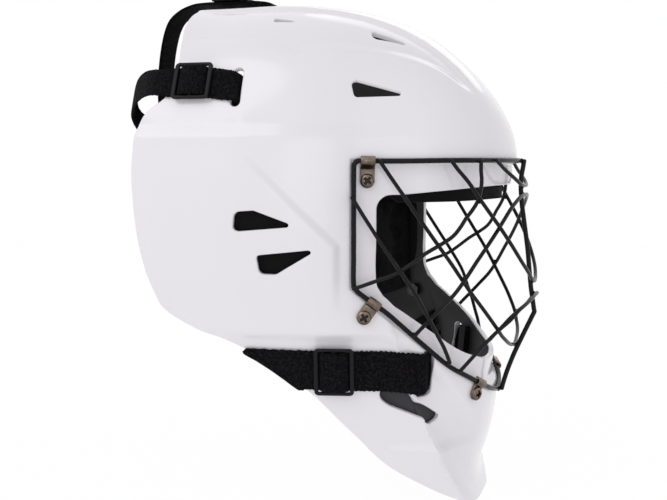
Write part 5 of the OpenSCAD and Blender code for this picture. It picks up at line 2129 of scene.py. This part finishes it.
@dataclass
class Padding:
    """Foam pads under knit, which line the shell and the back plate."""

    form: Form
    harness: Harness
    steps: int = 44
    lift: float = 1.7
    side_lift: float = 2.4
    jaw_lift: float = 0.95
    back_gap: float = 0.4
    welt: float = 0.75
    seam: float = 0.93
    swell: float = 2.2
    slack: float = 1.2
    frames: int = 18
    fill: float = 0.8
    crease: float = 70.0
    covers: list[tuple[bpy.types.Object, Array]] = field(default_factory=list)

    def cushion(self, front: Front, thick: float, channels: Sequence[tuple[str, float]], across: int,
                welt: bool = True) -> tuple[Mesh, Array]:
        """A pad with a crowned face, rounded sides, sewn channels and a welt.

        Args:
            front: gives the back face and the way into the pad for places from -1 to 1.
            thick: its thickness.
            channels: the sewn lines, each across u or v at a place from -1 to 1.
            across: how many parts it has along u.
            welt: whether a sewn edge runs round it.

        Returns:
            The mesh of the pad, and the vertices that glue, seams and thread hold.
        """
        ticks = [np.sin(np.linspace(-1, 1, n) * np.pi / 2) for n in (across, self.steps)]
        u, v = np.meshgrid(*ticks, indexing="ij")
        back, into = front(u * (1 - 0.07 * v ** 4), v * (1 - 0.07 * u ** 4))
        round_off = (np.maximum(1 - np.abs(u) ** 7, 0) * np.maximum(1 - np.abs(v) ** 7, 0)) ** 0.5
        crown = 0.82 + 0.18 * (1 - u ** 2) * (1 - v ** 2)
        height = thick * (0.06 + 0.94 * round_off * crown)
        sewn = np.maximum(np.abs(u), np.abs(v)) > self.seam
        for way, at in channels:
            off = np.abs((u if way == "u" else v) - at)
            height -= 0.28 * thick * np.exp(-(off / 0.035) ** 2) * round_off
            sewn |= off < 0.6 * np.pi / (across if way == "u" else self.steps)
        face = back + into * height[..., None]
        mesh = slab(face, back)
        if welt:
            seam = ((face + back) / 2).reshape(-1, 3)[grid_border(*u.shape)]
            rings = tube_rings(glide(seam[::2], 2, closed=True), self.welt, 8, closed=True)
            mesh.add(*loft(rings, closed=True))
        return mesh, np.setdiff1d(np.arange(mesh.count), np.flatnonzero(~sewn.ravel()))

    def liner(self, aim: Aim, lift: float) -> Front:
        """Back face of a pad on the inside of the shell.

        Args:
            aim: the direction from the centre of the form for places from -1 to 1.
            lift: the distance of the pad from the inner form.

        Returns:
            A function for cushion.
        """
        def front(u: Array, v: Array) -> tuple[Array, Array]:
            """Back face of this pad.

            Args:
                u: places across it from -1 to 1.
                v: places up it from -1 to 1.

            Returns:
                The points of the back face and the way into the pad.
            """
            way = unit(aim(u, v))
            n = self.form.out_of(way)
            p = np.array([0, 0, self.form.centre]) + way * self.form.radius(way)[..., None]
            return p + (self.form.inner_relief(p) - self.form.wall - lift)[..., None] * n, -n
        return front

    def plans(self) -> list[Pad]:
        """Works out where the pads lie.

        Returns:
            The plans of the pads in the shell.
        """
        def brow(u: Array, v: Array) -> Array:
            """Directions of the brow pad."""
            th, up = np.radians(56 * u), np.radians(9 - 10 * v - 2 * u * u)
            return np.stack([np.cos(up) * np.cos(th), np.cos(up) * np.sin(th), np.sin(up)], axis=-1)

        def crown(u: Array, v: Array) -> Array:
            """Directions of the crown pad."""
            return np.stack([18 + 46 * u, 46 * v * (1 - 0.15 * u * u), 118 + 0 * u], axis=-1)

        def side(sign: int) -> Aim:
            """Directions of a side pad."""
            return lambda u, v: np.stack([16 - 22 * u, sign * (88 + 0 * u), -40 - 32 * v - 2 * u], axis=-1)

        def jaw(sign: int) -> Aim:
            """Directions of a jaw pad."""
            return lambda u, v: np.stack([38 - 22 * u, sign * (80 + 0 * u), -108 - 15 * v - 8 * u], axis=-1)

        pads = [Pad("brow_cushion", "brow_pad", brow, 11.5, [("u", s) for s in (-0.5, 0, 0.5)], 110,
                    self.lift),
                Pad("crown_cushion", "crown_pad", crown, 13.5, [("u", 0), ("v", -0.33), ("v", 0.33)], 60,
                    self.lift)]
        for s in Side:
            pads += [Pad(f"side_cushion_{s.word}", f"side_pad_{s.word}", side(s.value), 12.5, [("v", 0.0)],
                         50, self.side_lift),
                     Pad(f"jaw_cushion_{s.word}", f"jaw_pad_{s.word}", jaw(s.value), 9.6, [], 40,
                         self.jaw_lift)]
        return pads

    def build(self) -> None:
        """Makes the pads."""
        for pad in self.plans():
            front = self.liner(pad.aim, pad.lift)
            cover = self.cushion(front, pad.thick - self.slack, pad.channels, pad.across)
            self.pad(pad.name, pad.node, Body.HELMET, cover)
        self.linings()
        self.back()
        self.inflate()

    def pad(self, name: str, node: str, body: Body, cover: tuple[Mesh, Array]) -> None:
        """Makes a pad from its cover and keeps it for the simulation.

        Args:
            name: the name of the pad.
            node: the CAD node that it stands for.
            body: the group that it moves with.
            cover: what cushion returned.
        """
        piece = self.closed(cover[0].make(name, [KNIT], crease=self.crease))
        dress(piece, KNIT, body, node)
        self.covers.append((piece, cover[1]))

    def inflate(self) -> None:
        """Lets the knit covers swell as simulated cloth between their seams and sewn channels."""
        for piece, held in self.covers:
            group = piece.vertex_groups.new(name="held")
            group.add([int(i) for i in held], 1.0, "REPLACE")
            cloth = piece.modifiers.new("cover", "CLOTH")
            cloth.settings.vertex_group_mass = group.name
            cloth.settings.quality = 6
            cloth.settings.mass = 0.2
            cloth.settings.tension_stiffness = cloth.settings.compression_stiffness = 8
            cloth.settings.shear_stiffness = 3
            cloth.settings.bending_stiffness = 0.05
            cloth.settings.shrink_min = -0.07
            cloth.settings.use_pressure = True
            cloth.settings.uniform_pressure_force = 4
            cloth.settings.effector_weights.gravity = 0
            cloth.collision_settings.use_collision = False
            cloth.point_cache.frame_start, cloth.point_cache.frame_end = 1, self.frames
        for frame_now in range(1, self.frames + 1):
            bpy.context.scene.frame_set(frame_now)
        depsgraph = bpy.context.evaluated_depsgraph_get()
        swollen = [np.array([tuple(v.co) for v in piece.evaluated_get(depsgraph).data.vertices])
                   for piece, _ in self.covers]
        for (piece, _), after in zip(self.covers, swollen):
            before = np.array([tuple(v.co) for v in piece.data.vertices])
            far = np.linalg.norm(after - before, axis=1)
            share = np.minimum(1, self.swell * MM / np.maximum(far, TINY))
            piece.modifiers.clear()
            piece.vertex_groups.clear()
            piece.data.vertices.foreach_set("co", (before + (after - before) * share[:, None]).ravel())
            piece.data.update()
            LOG.info("%s swelled by up to %.1f mm", piece.name, min(float(far.max()) / MM, self.swell))
        bpy.context.scene.frame_set(1)

    def linings(self) -> None:
        """Makes the thin foam linings behind the vents of the ears and the chin."""
        def ear(sign: int) -> Aim:
            """Directions of an ear lining."""
            return lambda u, v: np.stack([4 - 46 * u, sign * (98 + 0 * u), -31 - 30 * v], axis=-1)

        def chin(sign: int) -> Aim:
            """Directions of a chin lining."""
            return lambda u, v: np.stack([73 - 31 * u, sign * (70 + 0 * u),
                                          -130 + 33 * u - 13 * u * u - 13 * v], axis=-1)

        for s in Side:
            for label, aim, thick, lift, finish in (("ear", ear(s.value), 1.6, 0.35, KNIT),
                                                    ("chin", chin(s.value), 2.4, 0.4, LINING)):
                mesh, _ = self.cushion(self.liner(aim, lift), thick, [], 30, welt=False)
                piece = mesh.make(f"{label}_lining_{s.word}", [finish], crease=self.crease)
                dress(self.closed(piece), finish, Body.HELMET)

    def closed(self, piece: bpy.types.Object) -> bpy.types.Object:
        """Turns the faces of a closed piece outwards.

        Args:
            piece: the piece.

        Returns:
            The same piece.
        """
        work = bmesh.new()
        work.from_mesh(piece.data)
        bmesh.ops.recalc_face_normals(work, faces=work.faces)
        work.to_mesh(piece.data)
        work.free()
        piece.data.set_sharp_from_angle(angle=math.radians(self.crease))
        return piece

    def plate(self, u: Array, v: Array, off: float) -> Array:
        """Points of the back plate.

        Args:
            u: places across it from -1 to 1.
            v: places up it from -1 to 1.
            off: how far in front of its middle they are.

        Returns:
            One point for each place.
        """
        h = self.harness
        s, c = np.sqrt(1 - v * v / 2.4), np.sqrt(1 - u * u / 2.4)
        y, z = u * s * h.plate_width / 2 * 1.15, v * c * h.plate_height / 2 * 1.15
        return np.stack([h.bowed(y, z) + off, y, h.plate_z + z], axis=-1)

    def back(self) -> None:
        """Makes the back plate and its pad."""
        half, forward = self.harness.plate_thick / 2, np.array([1.0, 0, 0])
        edge = np.sin(np.linspace(-1, 1, 41) * np.pi / 2)
        u, v = np.meshgrid(edge, edge, indexing="ij")
        soft = (np.maximum(1 - np.abs(u) ** 26, 0) * np.maximum(1 - np.abs(v) ** 26, 0)) ** 0.5
        rib = 0.5 * np.exp(-((np.abs(u) - 0.62) / 0.05) ** 2) * soft
        rear = self.plate(u, v, 0) - forward * (half * soft - 0.35 * rib)[..., None]
        mesh = slab(rear, self.plate(u, v, 0) + forward * (half * soft)[..., None])
        piece = self.closed(mesh.make("back_plate_soft", [MOULDED]))
        dress(piece, MOULDED, Body.BACK, "back_plate")

        def face(u: Array, v: Array) -> tuple[Array, Array]:
            """The back of the pad and the way to its face."""
            p = self.plate(u, v, half + self.back_gap)
            return p, np.broadcast_to(forward, p.shape)

        cover = self.cushion(face, 9.6, [("u", -0.33), ("u", 0.33)], self.steps)
        self.pad("back_cushion", "back_pad", Body.BACK, cover)


# The set

@dataclass(frozen=True)
class Studio:
    """Camera, lamps, floor and surroundings."""

    distance: float = 0.815
    azimuth: float = 15.2
    elevation: float = 3.83
    lens: float = 62.88
    sensor: float = 36.0
    floor: float = -0.1665
    floor_half: float = 3.0
    floor_ticks: int = 9
    sky_level: float = 0.775
    sky_slope: tuple[float, float, float] = (-0.14, -0.02, -0.08)
    lamps: tuple[tuple[str, tuple[float, float, float], float, float], ...] = (
        ("key", (-0.8, -1.4, 1.6), 1.7, 9.0), ("fill", (0.7, -1.9, 0.25), 1.2, 2.0),
        ("rim", (0.2, 1.6, 1.3), 1.4, 3.0))

    def camera(self) -> None:
        """Places the camera as the photograph was taken."""
        a, e = math.radians(self.azimuth), math.radians(self.elevation)
        back = Vector((math.sin(a) * math.cos(e), -math.cos(a) * math.cos(e), math.sin(e)))
        data = bpy.data.cameras.new("camera")
        data.lens, data.sensor_width, data.sensor_fit = self.lens, self.sensor, "HORIZONTAL"
        camera = bpy.data.objects.new("camera", data)
        camera.location = back * self.distance
        camera.rotation_mode = "QUATERNION"
        camera.rotation_quaternion = (-back).to_track_quat("-Z", "Y")
        bpy.context.scene.collection.objects.link(camera)
        bpy.context.scene.camera = camera

    def lamp(self, name: str, place: Sequence[float], size: float, power: float) -> None:
        """Adds a soft lamp that shines at the helmet.

        Args:
            name: its name.
            place: where it stands, in metres.
            size: how wide it is.
            power: its power in watts.
        """
        data = bpy.data.lights.new(name, "AREA")
        data.shape, data.size, data.energy = "DISK", size, power
        lamp = bpy.data.objects.new(name, data)
        lamp.location = place
        lamp.rotation_euler = (-Vector(place)).to_track_quat("-Z", "Y").to_euler()
        bpy.context.scene.collection.objects.link(lamp)

    def seen(self, n: Nodes) -> bpy.types.NodeSocket:
        """Whether a ray shows the background itself.

        Args:
            n: the bench of the background.

        Returns:
            A socket with 1 for rays from the camera, a mirror or glass, and 0 for others.
        """
        path = n.add("LightPath")
        both = n.maths("MAXIMUM", path.outputs["Is Glossy Ray"], path.outputs["Is Transmission Ray"])
        return n.maths("MAXIMUM", path.outputs["Is Camera Ray"], both)

    def world(self) -> None:
        """White surroundings that light the helmet more from above."""
        world = bpy.data.worlds.new("studio")
        bpy.context.scene.world = world
        n = Nodes("studio", world)
        way = n.add("SeparateXYZ", i0=n.add("TexCoord").outputs["Generated"])
        level: object = self.sky_level
        for part, slope in zip(way.outputs, self.sky_slope):
            level = n.maths("MULTIPLY_ADD", part, slope, level)
        strength = n.add("Mix", data_type="FLOAT", i0=self.seen(n), i2=level, i3=1.0).outputs[0]
        back = n.add("Background", Color=(1, 1, 1, 1), Strength=strength)
        n.add("OutputWorld", Surface=back.outputs[0])

    def ground(self) -> None:
        """Pale floor that keeps a soft shadow."""
        n = Nodes("pale_floor")
        tone = n.blend(n.between(n.noise(0.4, 3), 0.3, 0.7), (0.93, 0.93, 0.93), (0.95, 0.95, 0.95))
        matt = n.add("BsdfDiffuse", Color=tone, Roughness=1.0)
        glow = n.add("Emission", Color=(1, 1, 1, 1), Strength=1.0)
        share = n.between(self.seen(n), 0.8, 0.98)
        both = n.add("MixShader", i0=share, i1=matt.outputs[0], i2=glow.outputs[0])
        n.add("OutputMaterial", Surface=both.outputs[0])
        data = bpy.data.meshes.new("floor")
        ticks = np.linspace(-self.floor_half, self.floor_half, self.floor_ticks).tolist()
        data.from_pydata([(x, y, self.floor) for x in ticks for y in ticks], [],
                         grid_faces(self.floor_ticks, self.floor_ticks))
        data.materials.append(n.material)
        floor = bpy.data.objects.new("floor", data)
        bpy.context.scene.collection.objects.link(floor)

    def build(self) -> None:
        """Makes the set."""
        bpy.context.scene.view_settings.view_transform = "Standard"
        self.world()
        self.ground()
        self.camera()
        for lamp in self.lamps:
            self.lamp(*lamp)


def keep_nodes() -> None:
    """Gives finishes to the CAD nodes whose shape stays."""
    for node, finish in (("clip_nuts", ZINC), ("strap_keepers", MOULDED)):
        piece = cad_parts[node]
        piece.data.materials.clear()
        piece.data.materials.append(finish.material())
        LOG.info("%s keeps its CAD shape", node)


def main() -> None:
    """Builds the set and the pieces."""
    logging.basicConfig(level=logging.INFO, format="%(name)s: %(message)s")
    Studio().build()
    form = Form()
    shell = Shell(form)
    cage = Cage(form)
    harness = Harness(form, shell)
    shell.build()
    cage.build()
    Clips(form, cage).build()
    harness.build()
    Padding(form, harness).build()
    keep_nodes()


if __name__ == "__main__":
    main()
